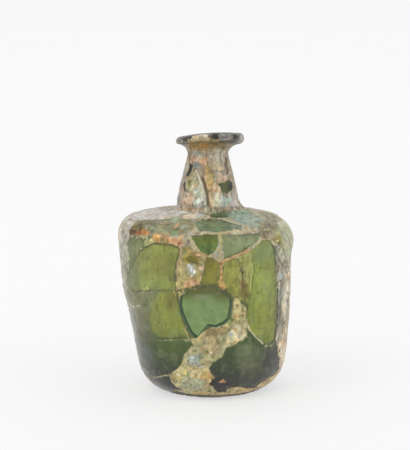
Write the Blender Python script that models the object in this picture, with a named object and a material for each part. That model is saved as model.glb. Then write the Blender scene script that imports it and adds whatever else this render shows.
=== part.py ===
"""Ancient mended glass bottle with a disc rim: one blown vessel, hollow, with a fragment missing from the front."""
import math

import bmesh
import bpy

# Overall, in metres: the widest radius is at the shoulder
BODY_RADIUS = 0.0397
BODY_SEGMENTS = 60

# Underside and foot
KICK_HEIGHT = 0.0026
KICK_INNER_RADIUS = 0.0085
RING_INNER_RADIUS = 0.0142
RING_OUTER_RADIUS = 0.0183
HEEL_INSET = 0.0059
HEEL_WIDTH = BODY_RADIUS - HEEL_INSET - RING_OUTER_RADIUS
HEEL_HEIGHT = 0.0169
HEEL_END = -8.0

# Wall stations: height above the ground, how far the outer face lies inside the widest radius
WALL_STATIONS = (
    (0.0170, 0.0056),
    (0.0270, 0.00435),
    (0.0380, 0.0029),
    (0.0460, 0.0017),
    (0.0550, 0.0013),
    (0.0620, 0.0008),
    (0.0695, 0.0000),
)

# Shoulder corner (a quarter of an ellipse, cut short) and the fillet under the neck
CORNER_WIDTH = 0.0122
CORNER_HEIGHT = 0.0112
CORNER_SWEEP = 62.0
SHOULDER_BREAK_INSET = 0.0089
SHOULDER_BREAK_HEIGHT = 0.0798
FILLET_RADIUS = 0.0053
FILLET_CENTRE_RADIUS = 0.0194
FILLET_CENTRE_HEIGHT = 0.0869
FILLET_FROM = 261.0
FILLET_TO = 191.0

# Neck and rim
NECK_FOOT_SPREAD = 0.0011
NECK_FOOT_DROP = 0.0049
NECK_MID_RADIUS = 0.0120
NECK_MID_HEIGHT = 0.0957
NECK_TOP_RADIUS = 0.0091
NECK_TOP_HEIGHT = 0.1076
FLARE_RADIUS = 0.0048
FLARE_END = 104.0
RIM_RADIUS = 0.0154
RIM_THICKNESS = 0.0042
RIM_TOP_DISH = 0.0009
MOUTH_RADIUS = 0.0092

# Walls
WALL_THICKNESS = 0.0024
NECK_WALL = 0.0019
FLOOR_AT_RING = 0.0036
FLOOR_AT_MIDDLE = 0.0062
HEEL_WALL = 0.0028

# Hand-made leanings: the axis wanders sideways (height, shift towards +X)
AXIS_WANDER = (
    (0.0000, 0.0024),
    (0.0140, 0.0025),
    (0.0340, 0.0017),
    (0.0480, 0.0003),
    (0.0620, 0.0000),
    (0.0720, 0.0000),
    (0.0800, 0.0003),
    (0.0835, 0.0017),
    (0.0875, 0.0009),
    (0.0920, 0.0010),
    (0.1080, 0.0010),
    (0.1140, 0.0019),
)
SHOULDER_TILT = 1.9
SHOULDER_TILT_FROM = 0.062
SHOULDER_TILT_FULL = 0.074
SHOULDER_TILT_FADE = 0.0785
SHOULDER_TILT_END = 0.083
RIM_TILT = 0.5
RIM_PITCH = 5.4
RIM_SADDLE = 0.0005
RIM_UNEVEN = 0.19
NECK_FLUTES = 4
NECK_FLUTES_FROM = 0.086
NECK_FLUTE_DEPTH = 0.00016
NECK_FLUTE_TWIST = 14.0

# The missing fragment: bearing round the body (0 is the front, + to the right) in degrees, height in metres
MISSING_FRAGMENT = (
    (-17.3, 0.0495),
    (-11.4, 0.0517),
    (-4.0, 0.0531),
    (1.3, 0.0543),
    (5.8, 0.0536),
    (11.7, 0.0510),
    (17.4, 0.0479),
    (16.7, 0.0440),
    (14.4, 0.0390),
    (10.3, 0.0368),
    (4.6, 0.0356),
    (-0.6, 0.0360),
    (-4.7, 0.0337),
    (-10.1, 0.0301),
    (-13.5, 0.0323),
    (-16.8, 0.0371),
    (-18.5, 0.0412),
    (-18.9, 0.0449),
)
CUT_DEPTH = 0.0127
CUT_REACH = 0.0083
CUT_FROM_RADIUS = BODY_RADIUS - CUT_DEPTH
CUT_TO_RADIUS = BODY_RADIUS + CUT_REACH

GLASS_COLOUR = (0.20, 0.26, 0.09, 1.0)
GLASS_ROUGHNESS = 0.35


def clear_scene():
    """Take away everything the empty file starts with."""
    for thing in list(bpy.data.objects):
        bpy.data.objects.remove(thing, do_unlink=True)


def smooth(value):
    """Ease 0..1, held at both ends."""
    value = min(1.0, max(0.0, value))
    return value * value * (3.0 - 2.0 * value)


def through(stations, height):
    """A curve through (height, value) stations that never overshoots between them."""
    count = len(stations)
    steps = [stations[k + 1][0] - stations[k][0] for k in range(count - 1)]
    slopes = [(stations[k + 1][1] - stations[k][1]) / steps[k] for k in range(count - 1)]
    tangents = [slopes[0]] + [0.0] * (count - 2) + [slopes[-1]]
    for k in range(1, count - 1):
        if slopes[k - 1] * slopes[k] > 0.0:
            before = 2.0 * steps[k] + steps[k - 1]
            after = steps[k] + 2.0 * steps[k - 1]
            tangents[k] = (before + after) / (before / slopes[k - 1] + after / slopes[k])
    k = 0
    while k < count - 2 and height > stations[k + 1][0]:
        k += 1
    t = min(1.0, max(0.0, (height - stations[k][0]) / steps[k]))
    low, high = stations[k][1], stations[k + 1][1]
    return (
        (2.0 * t**3 - 3.0 * t**2 + 1.0) * low
        + (t**3 - 2.0 * t**2 + t) * steps[k] * tangents[k]
        + (3.0 * t**2 - 2.0 * t**3) * high
        + (t**3 - t**2) * steps[k] * tangents[k + 1]
    )


def arc(centre, across, up, start, end, count):
    """Points of an elliptical arc in the profile plane, both ends included."""
    points = []
    for k in range(count):
        angle = math.radians(start + (end - start) * k / (count - 1))
        points.append((centre[0] + across * math.cos(angle), centre[1] + up * math.sin(angle)))
    return points


def wall_line(thickness, count):
    """The slightly swelling wall, set in by a thickness."""
    low, high = WALL_STATIONS[0][0], WALL_STATIONS[-1][0]
    heights = [low + (high - low) * k / (count - 1) for k in range(count)]
    return [(BODY_RADIUS - through(WALL_STATIONS, height) - thickness, height) for height in heights]


def outer_profile():
    """Outside of the glass, from the middle of the underside to the top of the rim."""
    corner = (BODY_RADIUS - WALL_STATIONS[-1][1] - CORNER_WIDTH, WALL_STATIONS[-1][0])
    flare = (NECK_TOP_RADIUS + FLARE_RADIUS, NECK_TOP_HEIGHT)
    flare_arc = arc(flare, FLARE_RADIUS, FLARE_RADIUS, 180.0, FLARE_END, 6)
    half = RIM_THICKNESS / 2.0
    rim = (RIM_RADIUS - half, flare_arc[-1][1] + 0.0002 + half)
    points = [(0.0, KICK_HEIGHT), (KICK_INNER_RADIUS, KICK_HEIGHT * 0.78), (RING_INNER_RADIUS, 0.0)]
    points += arc((RING_OUTER_RADIUS, HEEL_HEIGHT), HEEL_WIDTH, HEEL_HEIGHT, -90.0, HEEL_END, 8)
    points += wall_line(0.0, 8)
    points += arc(corner, CORNER_WIDTH, CORNER_HEIGHT, 0.0, CORNER_SWEEP, 7)[1:]
    points += [(BODY_RADIUS - SHOULDER_BREAK_INSET, SHOULDER_BREAK_HEIGHT)]
    points += arc((FILLET_CENTRE_RADIUS, FILLET_CENTRE_HEIGHT), FILLET_RADIUS, FILLET_RADIUS, FILLET_FROM, FILLET_TO, 5)
    points += [(NECK_MID_RADIUS + NECK_FOOT_SPREAD, NECK_MID_HEIGHT - NECK_FOOT_DROP)]
    points += [(NECK_MID_RADIUS, NECK_MID_HEIGHT)]
    points += [((NECK_MID_RADIUS + NECK_TOP_RADIUS) / 2.0, (NECK_MID_HEIGHT + NECK_TOP_HEIGHT) / 2.0)]
    points += flare_arc
    points += arc(rim, half, half, -90.0, 90.0, 6)
    return points


def inner_profile():
    """Inside of the glass, from the lip of the mouth down to the middle of the floor."""
    corner = (BODY_RADIUS - WALL_STATIONS[-1][1] - CORNER_WIDTH, WALL_STATIONS[-1][0])
    rim_top = NECK_TOP_HEIGHT + FLARE_RADIUS * math.sin(math.radians(FLARE_END)) + 0.0002 + RIM_THICKNESS
    inner_fillet = FILLET_RADIUS + WALL_THICKNESS
    heel_width, heel_height = HEEL_WIDTH - WALL_THICKNESS, HEEL_HEIGHT - HEEL_WALL
    points = [(MOUTH_RADIUS, rim_top - RIM_TOP_DISH)]
    points += [(MOUTH_RADIUS - 0.0011, rim_top - RIM_TOP_DISH - 0.0009)]
    points += [(NECK_TOP_RADIUS - NECK_WALL, NECK_TOP_HEIGHT + 0.0014)]
    points += [(NECK_MID_RADIUS - NECK_WALL, NECK_MID_HEIGHT)]
    points += arc((FILLET_CENTRE_RADIUS, FILLET_CENTRE_HEIGHT), inner_fillet, inner_fillet, FILLET_TO, FILLET_FROM, 4)
    inner_width, inner_height = CORNER_WIDTH - WALL_THICKNESS, CORNER_HEIGHT - WALL_THICKNESS
    points += arc(corner, inner_width, inner_height, CORNER_SWEEP, 0.0, 5)
    points += wall_line(WALL_THICKNESS, 6)[::-1][1:]
    points += arc((RING_OUTER_RADIUS, HEEL_HEIGHT), heel_width, heel_height, HEEL_END, -84.0, 5)
    points += [(RING_INNER_RADIUS, FLOOR_AT_RING), (KICK_INNER_RADIUS, FLOOR_AT_MIDDLE - 0.0007)]
    points += [(0.0, FLOOR_AT_MIDDLE)]
    return points


def settle(radius, height, angle, outside):
    """Turn a profile point into place, with the leanings of the hand-made original."""
    twist = angle - math.radians(NECK_FLUTE_TWIST) * (height - NECK_TOP_HEIGHT) / 0.01
    on_neck = smooth((height - NECK_FLUTES_FROM) / 0.006) * smooth((NECK_TOP_HEIGHT - height) / 0.006)
    if outside:
        radius += NECK_FLUTE_DEPTH * math.cos(NECK_FLUTES * twist) * on_neck
    across = radius * math.sin(angle)
    depth = -radius * math.cos(angle)
    rim_low = NECK_TOP_HEIGHT + FLARE_RADIUS
    if height > rim_low:
        height = rim_low + (height - rim_low) * (1.0 + RIM_UNEVEN * across / RIM_RADIUS)
    on_rim = smooth((height - NECK_TOP_HEIGHT + 0.001) / 0.005)
    lifted = height + across * math.tan(math.radians(RIM_TILT)) * on_rim
    lifted -= depth * math.tan(math.radians(RIM_PITCH)) * on_rim
    lifted += RIM_SADDLE * (depth**2 - across**2) / RIM_RADIUS**2 * on_rim
    up_slope = smooth((height - SHOULDER_TILT_FROM) / (SHOULDER_TILT_FULL - SHOULDER_TILT_FROM))
    down_slope = smooth((SHOULDER_TILT_END - height) / (SHOULDER_TILT_END - SHOULDER_TILT_FADE))
    lifted -= across * math.tan(math.radians(SHOULDER_TILT)) * up_slope * down_slope
    return (across + through(AXIS_WANDER, height), depth, lifted)


def turned_body(name):
    """One closed shell: outside up, over the lip, inside down to the floor."""
    outer, inner = outer_profile(), inner_profile()
    profile = [(radius, height, True) for radius, height in outer]
    profile += [(radius, height, False) for radius, height in inner]
    shape = bmesh.new()
    rings = []
    for radius, height, outside in profile:
        if radius == 0.0:
            rings.append([shape.verts.new(settle(0.0, height, 0.0, outside))])
            continue
        ring = []
        for k in range(BODY_SEGMENTS):
            ring.append(shape.verts.new(settle(radius, height, math.tau * k / BODY_SEGMENTS, outside)))
        rings.append(ring)
    for lower, upper in zip(rings, rings[1:]):
        for k in range(BODY_SEGMENTS):
            after = (k + 1) % BODY_SEGMENTS
            if len(lower) == 1:
                shape.faces.new((lower[0], upper[after], upper[k]))
            elif len(upper) == 1:
                shape.faces.new((lower[k], lower[after], upper[0]))
            else:
                shape.faces.new((lower[k], lower[after], upper[after], upper[k]))
    bmesh.ops.recalc_face_normals(shape, faces=shape.faces)
    mesh = bpy.data.meshes.new(name)
    shape.to_mesh(mesh)
    shape.free()
    for face in mesh.polygons:
        face.use_smooth = True
    body = bpy.data.objects.new(name, mesh)
    bpy.context.scene.collection.objects.link(body)
    return body


def fragment_cutter(name):
    """A wedge with the outline of the missing fragment, its sides running straight to the axis."""
    shape = bmesh.new()
    caps = []
    for radius in (CUT_FROM_RADIUS, CUT_TO_RADIUS):
        cap = []
        for bearing, height in MISSING_FRAGMENT:
            angle = math.radians(bearing)
            shift = through(AXIS_WANDER, height)
            cap.append(shape.verts.new((shift + radius * math.sin(angle), -radius * math.cos(angle), height)))
        caps.append(cap)
    count = len(MISSING_FRAGMENT)
    middle_height = sum(height for bearing, height in MISSING_FRAGMENT) / count
    for cap, radius in zip(caps, (CUT_FROM_RADIUS, CUT_TO_RADIUS)):
        middle = shape.verts.new((through(AXIS_WANDER, middle_height), -radius, middle_height))
        for k in range(count):
            shape.faces.new((cap[k], cap[(k + 1) % count], middle))
    for k in range(count):
        after = (k + 1) % count
        shape.faces.new((caps[0][k], caps[0][after], caps[1][after], caps[1][k]))
    bmesh.ops.recalc_face_normals(shape, faces=shape.faces)
    mesh = bpy.data.meshes.new(name)
    shape.to_mesh(mesh)
    shape.free()
    cutter = bpy.data.objects.new(name, mesh)
    cutter.hide_render = True
    cutter.display_type = "WIRE"
    bpy.context.scene.collection.objects.link(cutter)
    return cutter


def glass_material():
    """Plain weathered green glass for the solid."""
    material = bpy.data.materials.new("glass")
    material.use_nodes = True
    shader = material.node_tree.nodes["Principled BSDF"]
    shader.inputs["Base Color"].default_value = GLASS_COLOUR
    shader.inputs["Roughness"].default_value = GLASS_ROUGHNESS
    return material


def build():
    """The vessel, with the gap of the missing fragment cut through its front wall."""
    clear_scene()
    bottle = turned_body("bottle")
    bottle.data.materials.append(glass_material())
    gap = bottle.modifiers.new("missing_fragment", "BOOLEAN")
    gap.operation = "DIFFERENCE"
    gap.solver = "EXACT"
    gap.object = fragment_cutter("missing_fragment_cutter")


build()
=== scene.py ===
"""Ancient mended glass bottle: weathered green glass, joined from its fragments, one fragment missing."""

import logging
import math
from dataclasses import dataclass, field
from enum import Enum

import bmesh
import bpy
import numpy as np
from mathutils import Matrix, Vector

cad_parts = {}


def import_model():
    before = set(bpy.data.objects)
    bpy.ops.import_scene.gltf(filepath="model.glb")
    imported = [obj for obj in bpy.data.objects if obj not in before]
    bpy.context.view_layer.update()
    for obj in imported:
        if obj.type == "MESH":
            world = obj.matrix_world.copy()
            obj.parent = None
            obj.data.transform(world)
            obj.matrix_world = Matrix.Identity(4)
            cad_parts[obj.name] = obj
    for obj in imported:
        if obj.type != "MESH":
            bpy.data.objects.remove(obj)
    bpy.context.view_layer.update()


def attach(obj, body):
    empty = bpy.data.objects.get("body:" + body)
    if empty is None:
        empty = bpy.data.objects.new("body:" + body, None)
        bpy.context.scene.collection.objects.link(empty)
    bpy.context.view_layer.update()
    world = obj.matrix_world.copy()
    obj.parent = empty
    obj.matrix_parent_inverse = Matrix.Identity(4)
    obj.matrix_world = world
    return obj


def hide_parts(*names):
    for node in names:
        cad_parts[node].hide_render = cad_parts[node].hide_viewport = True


log = logging.getLogger("bottle")
MM = 0.001
Point = tuple[float, float]
Triple = tuple[float, float, float]
Colour = Triple


def linear(colour: Colour) -> np.ndarray:
    """Turn a picture colour (0 to 255) into the linear values a shader takes.

    Args:
        colour: red, green and blue as a picture stores them.

    Returns:
        The three linear values.
    """
    value = np.asarray(colour, float) / 255.0
    return np.where(value <= 0.04045, value / 12.92, ((value + 0.055) / 1.055) ** 2.4)


def ease(value: np.ndarray | float) -> np.ndarray:
    """Ease 0..1 with flat ends, held outside.

    Args:
        value: any number or array.

    Returns:
        The eased array.
    """
    value = np.clip(value, 0.0, 1.0)
    return value * value * (3.0 - 2.0 * value)


def mixed(first: np.ndarray, second: np.ndarray, share: np.ndarray) -> np.ndarray:
    """Mix two sets of colours.

    Args:
        first: colours, one row each.
        second: one colour, or one row each.
        share: how much of the second in each row.

    Returns:
        The mixed colours.
    """
    part = share.reshape(-1, 1)
    return first * (1.0 - part) + second * part


def signed(bearing: np.ndarray | float) -> np.ndarray | float:
    """Bring a bearing into the range from -180 to 180 degrees."""
    return (bearing + 180.0) % 360.0 - 180.0


def measured(line: np.ndarray) -> tuple[np.ndarray, np.ndarray]:
    """Drop repeated points from a line and measure along it.

    Args:
        line: rows of radius and height.

    Returns:
        The line, and each point's distance along it.
    """
    line = line[np.r_[True, np.hypot(*np.diff(line, axis=0).T) > 1e-6]]
    return line, np.r_[0.0, np.cumsum(np.hypot(*np.diff(line, axis=0).T))]


@dataclass(frozen=True)
class Span:
    """A stretch that eases in from its start and out again before its end."""

    start: float
    rise: float
    end: float
    fall: float

    def share(self, at: np.ndarray) -> np.ndarray:
        """How fully each place lies in the stretch, from 0 to 1."""
        return ease((at - self.start) / self.rise) * ease((self.end - at) / self.fall)


def through(stations: tuple[Point, ...], at: np.ndarray) -> np.ndarray:
    """Read a curve through stations that never overshoots between them.

    Args:
        stations: (place, value) pairs in rising order.
        at: places to read.

    Returns:
        The values there, held beyond both ends.
    """
    place, value = np.array(stations, float).T
    step = np.diff(place)
    slope = np.diff(value) / step
    tangent = np.zeros(len(place))
    tangent[0], tangent[-1] = slope[0], slope[-1]
    for k in range(1, len(place) - 1):
        if slope[k - 1] * slope[k] > 0.0:
            before, after = 2.0 * step[k] + step[k - 1], step[k] + 2.0 * step[k - 1]
            tangent[k] = (before + after) / (before / slope[k - 1] + after / slope[k])
    at = np.clip(at, place[0], place[-1])
    k = np.clip(np.searchsorted(place, at) - 1, 0, len(step) - 1)
    t = (at - place[k]) / step[k]
    rest = (t**3 - 2 * t**2 + t) * step[k] * tangent[k] + (t**3 - t**2) * step[k] * tangent[k + 1]
    return (2 * t**3 - 3 * t**2 + 1) * value[k] + (3 * t**2 - 2 * t**3) * value[k + 1] + rest


def grain(points: np.ndarray, size: float, seed: int, octaves: int = 2) -> np.ndarray:
    """Smooth seeded noise in space.

    Args:
        points: places in millimetres, one row each.
        size: width of the largest lumps in millimetres.
        seed: picks the pattern.
        octaves: how many finer layers are added.

    Returns:
        Values from 0 to 1, about 0.5 on average.
    """
    total, weight, share = np.zeros(len(points)), 0.0, 1.0
    for octave in range(octaves):
        place = points / size + 37.7 * (seed + 5 * octave)
        cell = np.floor(place).astype(np.int64)
        part = ease(place - cell)
        value = np.zeros(len(points))
        for corner in range(8):
            offset = np.array([corner & 1, corner >> 1 & 1, corner >> 2 & 1])
            key = (cell + offset) @ np.array([73856093, 19349663, 83492791]) + seed * 2654435
            key = (key ^ (key >> 13)) * 1274126177 & 0xFFFFFFFF
            key = (key ^ (key >> 15)) * 668265263 & 0xFFFFFFFF
            height = (key ^ (key >> 16) & 0xFFFF) % 65536 / 65535.0
            value += height * np.prod(np.where(offset, part, 1.0 - part), axis=1)
        total += value * share
        weight += share
        size, share = size * 0.47, share * 0.55
    return np.clip((total / weight - 0.5) * 1.35 + 0.5, 0.0, 1.0)


class Finish(Enum):
    """Which material a stretch of the surface shows."""

    GLASS = 0
    CRUST = 1
    BREAK = 2
    INSIDE = 3


@dataclass(frozen=True)
class BottleForm:
    """Sizes of the blown form in millimetres, the same as the solid's."""

    kick: float = 2.6
    kick_inner: float = 8.5
    ring_inner: float = 14.2
    ring_outer: float = 18.3
    heel_width: float = 15.5
    heel_height: float = 16.9
    wall: tuple[Point, ...] = (
        (17.0, 34.1), (27.0, 35.35), (38.0, 36.8), (46.0, 38.0), (55.0, 38.4), (62.0, 38.9), (69.5, 39.7),
    )
    corner_width: float = 12.2
    corner_height: float = 11.2
    corner_sweep: float = 62.0
    shoulder_break: Point = (30.8, 79.8)
    fillet: float = 5.3
    fillet_centre: Point = (19.4, 86.9)
    neck_middle: Point = (12.0, 95.7)
    neck_top: Point = (9.1, 107.6)
    flare: float = 4.8
    flare_end: float = 104.0
    rim_radius: float = 15.4
    rim_thickness: float = 4.2
    rim_dish: float = 0.9
    mouth: float = 9.2
    wall_thickness: float = 2.4
    neck_wall: float = 1.9
    floor_ring: float = 3.6
    floor_middle: float = 6.2
    heel_wall: float = 2.8
    wander: tuple[Point, ...] = (
        (0.0, 2.4), (14.0, 2.5), (34.0, 1.7), (48.0, 0.3), (62.0, 0.0), (72.0, 0.0), (80.0, 0.3), (83.5, 1.7),
        (87.5, 0.9), (92.0, 1.0), (108.0, 1.0), (114.0, 1.9),
    )
    shoulder_tilt: float = 1.9
    tilt_heights: Span = Span(62.0, 12.0, 83.0, 4.5)
    shoulder_sag: float = 0.6
    sag_heights: Span = Span(70.0, 7.0, 84.0, 3.0)
    sag_bearings: Span = Span(-176.0, 50.0, -88.0, 26.0)
    rim_tilt: float = 0.5
    rim_pitch: float = 5.4
    rim_saddle: float = 0.5
    rim_uneven: float = 0.19

    def arc(self, centre: Point, across: float, up: float, start: float, end: float) -> np.ndarray:
        """Points of an elliptical arc, a third of a millimetre apart.

        Args:
            centre: middle of the ellipse, as radius and height.
            across: half width.
            up: half height.
            start: first angle in degrees.
            end: last angle in degrees.

        Returns:
            Rows of radius and height.
        """
        count = max(4, int(abs(math.radians(end - start)) * max(across, up) / 0.33))
        angle = np.radians(np.linspace(start, end, count))
        return np.c_[centre[0] + across * np.cos(angle), centre[1] + up * np.sin(angle)]

    def wall_line(self, inset: float) -> np.ndarray:
        """The swelling wall from the heel up, as radius and height, this far inside the outer face."""
        height = np.linspace(self.wall[0][0], self.wall[-1][0], 80)
        return np.c_[through(self.wall, height) - inset, height]

    def corner_centre(self) -> Point:
        """Radius and height of the middle of the ellipse that rounds the shoulder."""
        return (self.wall[-1][1] - self.corner_width, self.wall[-1][0])

    def flare_centre(self) -> Point:
        """Radius and height of the middle of the arc by which the neck spreads into the rim."""
        return (self.neck_top[0] + self.flare, self.neck_top[1])

    def rim_low(self) -> float:
        """Height of the rim's underside in millimetres."""
        return self.neck_top[1] + self.flare * math.sin(math.radians(self.flare_end)) + 0.2

    def outside(self) -> np.ndarray:
        """Outer profile from the foot ring's outer edge to the top of the rim.

        Returns:
            Rows of radius and height.
        """
        half = self.rim_thickness / 2
        middle = ((self.neck_middle[0] + self.neck_top[0]) / 2, (self.neck_middle[1] + self.neck_top[1]) / 2)
        return np.vstack([
            self.arc((self.ring_outer, self.heel_height), self.heel_width, self.heel_height, -90, -8),
            self.wall_line(0.0),
            self.arc(self.corner_centre(), self.corner_width, self.corner_height, 0, self.corner_sweep)[1:],
            [self.shoulder_break],
            self.arc(self.fillet_centre, self.fillet, self.fillet, 261, 191),
            [(self.neck_middle[0] + 1.1, self.neck_middle[1] - 4.9), self.neck_middle, middle],
            self.arc(self.flare_centre(), self.flare, self.flare, 180, self.flare_end),
            self.arc((self.rim_radius - half, self.rim_low() + half), half, half, -90, 90),
        ])

    def underside(self) -> np.ndarray:
        """The raised middle of the base and its flat ring, as radius and height from the middle out."""
        return np.array([
            (0.0, self.kick), (4.3, self.kick * 0.95), (self.kick_inner, self.kick * 0.78), (11.7, 1.1),
            (self.ring_inner, 0.0), (16.7, 0.0),
        ])

    def inside(self) -> np.ndarray:
        """Inner profile from the mouth down to the middle of the floor.

        Returns:
            Rows of radius and height.
        """
        rim_top = self.rim_low() + self.rim_thickness
        wide, high = self.corner_width - self.wall_thickness, self.corner_height - self.wall_thickness
        bend = self.fillet + self.wall_thickness
        heel = (self.heel_width - self.wall_thickness, self.heel_height - self.heel_wall)
        return np.vstack([
            [(12.6, rim_top - 0.1), (10.8, rim_top - 0.4), (self.mouth, rim_top - self.rim_dish)],
            [(self.mouth - 1.1, rim_top - self.rim_dish - 0.9)],
            [(self.neck_top[0] - self.neck_wall, self.neck_top[1] + 1.4)],
            [(self.neck_middle[0] - self.neck_wall, self.neck_middle[1])],
            self.arc(self.fillet_centre, bend, bend, 191, 261),
            self.arc(self.corner_centre(), wide, high, self.corner_sweep, 0),
            self.wall_line(self.wall_thickness)[::-1][1:],
            self.arc((self.ring_outer, self.heel_height), heel[0], heel[1], -8, -84),
            [(self.ring_inner, self.floor_ring), (self.kick_inner, self.floor_middle - 0.7)],
            [(4.0, self.floor_middle - 0.15), (0.0, self.floor_middle)],
        ])

    def settle(self, radius: np.ndarray, height: np.ndarray, bearing: np.ndarray) -> np.ndarray:
        """Put profile points in place, with the leanings of the hand-made original.

        Args:
            radius: distances from the axis.
            height: heights in the profile.
            bearing: degrees round the body, 0 at the front and + to the right.

        Returns:
            Places in millimetres.
        """
        angle = np.radians(bearing)
        across, depth = radius * np.sin(angle), -radius * np.cos(angle)
        low = self.neck_top[1] + self.flare
        stretch = 1 + self.rim_uneven * across / self.rim_radius
        height = np.where(height > low, low + (height - low) * stretch, height)
        on_rim = ease((height - self.neck_top[1] + 1.0) / 5.0)
        lifted = height + across * math.tan(math.radians(self.rim_tilt)) * on_rim
        lifted = lifted - depth * math.tan(math.radians(self.rim_pitch)) * on_rim
        lifted = lifted + self.rim_saddle * (depth**2 - across**2) / self.rim_radius**2 * on_rim
        on_shoulder = self.tilt_heights.share(height)
        lifted = lifted - across * math.tan(math.radians(self.shoulder_tilt)) * on_shoulder
        sagging = self.sag_heights.share(height) * self.sag_bearings.share(signed(bearing))
        lifted = lifted - self.shoulder_sag * sagging
        return np.stack([across + through(self.wander, height), depth, lifted], axis=-1)


@dataclass(frozen=True)
class Picture:
    """The camera that the picture was taken with, and its 410 by 450 frame."""

    width: int = 410
    height: int = 450
    eye: Triple = (0.0, -850.0, 210.0)
    aim: Triple = (0.0, 0.0, 57.0)
    aim_pixel: Point = (205.8, 264.3)
    pixel: float = 0.456

    def rays(self, pixels: np.ndarray) -> tuple[np.ndarray, np.ndarray]:
        """Lines of sight through pixels.

        Args:
            pixels: rows of x and y in the frame.

        Returns:
            The eye and one direction a pixel.
        """
        eye, aim = np.array(self.eye), np.array(self.aim)
        forward = aim - eye
        distance = np.linalg.norm(forward)
        forward /= distance
        right = np.cross(forward, (0.0, 0.0, 1.0))
        right /= np.linalg.norm(right)
        up = np.cross(right, forward)
        shift = (np.asarray(pixels, float) - self.aim_pixel) * self.pixel / distance
        way = forward + shift[:, :1] * right - shift[:, 1:] * up
        return eye, way / np.linalg.norm(way, axis=1, keepdims=True)

    def add_camera(self) -> bpy.types.Object:
        """Make the camera that sees the bottle as the picture does.

        Returns:
            The camera object.
        """
        data = bpy.data.cameras.new("picture_camera")
        camera = bpy.data.objects.new("picture_camera", data)
        bpy.context.scene.collection.objects.link(camera)
        bpy.context.scene.camera = camera
        distance = (Vector(self.aim) - Vector(self.eye)).length
        span = max(self.width, self.height)
        data.sensor_width = 36.0
        data.lens = data.sensor_width * distance / (self.pixel * span)
        data.shift_x = (self.width / 2 - self.aim_pixel[0]) / span
        data.shift_y = (self.aim_pixel[1] - self.height / 2) / span
        data.clip_start, data.clip_end = 0.01, 50.0
        camera.location = Vector(self.eye) * MM
        camera.rotation_euler = (Vector(self.aim) - Vector(self.eye)).to_track_quat("-Z", "Y").to_euler()
        return camera


@dataclass(frozen=True)
class Patch:
    """A stretch of surface with one look, outlined in picture pixels.

    Ragged, raised and soft are in millimetres, and mottle, speck, haze and streaks are strengths.
    """

    name: str
    finish: Finish
    colour: Colour
    outline: tuple[Point, ...]
    low: Colour | None = None
    ragged: float = 0.9
    raised: float = 0.0
    soft: float = 0.45
    mottle: float = 0.16
    speck: float = 0.0
    haze: float = 0.15
    streaks: float = 0.2


@dataclass(frozen=True)
class Seam:
    """A joint between fragments: a dark crack, or a bead of fill.

    Width and raised are in millimetres, and broken is how much of its length is missing.
    """

    name: str
    line: tuple[Point, ...]
    colour: Colour
    width: float = 0.8
    raised: float = -0.12
    broken: float = 0.0
    finish: Finish = Finish.GLASS


@dataclass(frozen=True)
class Fleck:
    """A small soft spot, placed in picture pixels."""

    name: str
    centre: Point
    reach: Point
    colour: Colour


def crust(name: str, colour: Colour, outline: tuple[Point, ...], **look: Colour | float) -> Patch:
    """A patch of flaky crust."""
    return Patch(name, Finish.CRUST, colour, outline, **look)


def glass(name: str, colour: Colour, outline: tuple[Point, ...], **look: Colour | float) -> Patch:
    """A patch of bare glass."""
    return Patch(name, Finish.GLASS, colour, outline, **look)


def filled(
    name: str, line: tuple[Point, ...], colour: Colour, width: float, raised: float, broken: float,
) -> Seam:
    """A joint that fill or crust covers."""
    return Seam(name, line, colour, width, raised, broken, Finish.CRUST)


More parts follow.
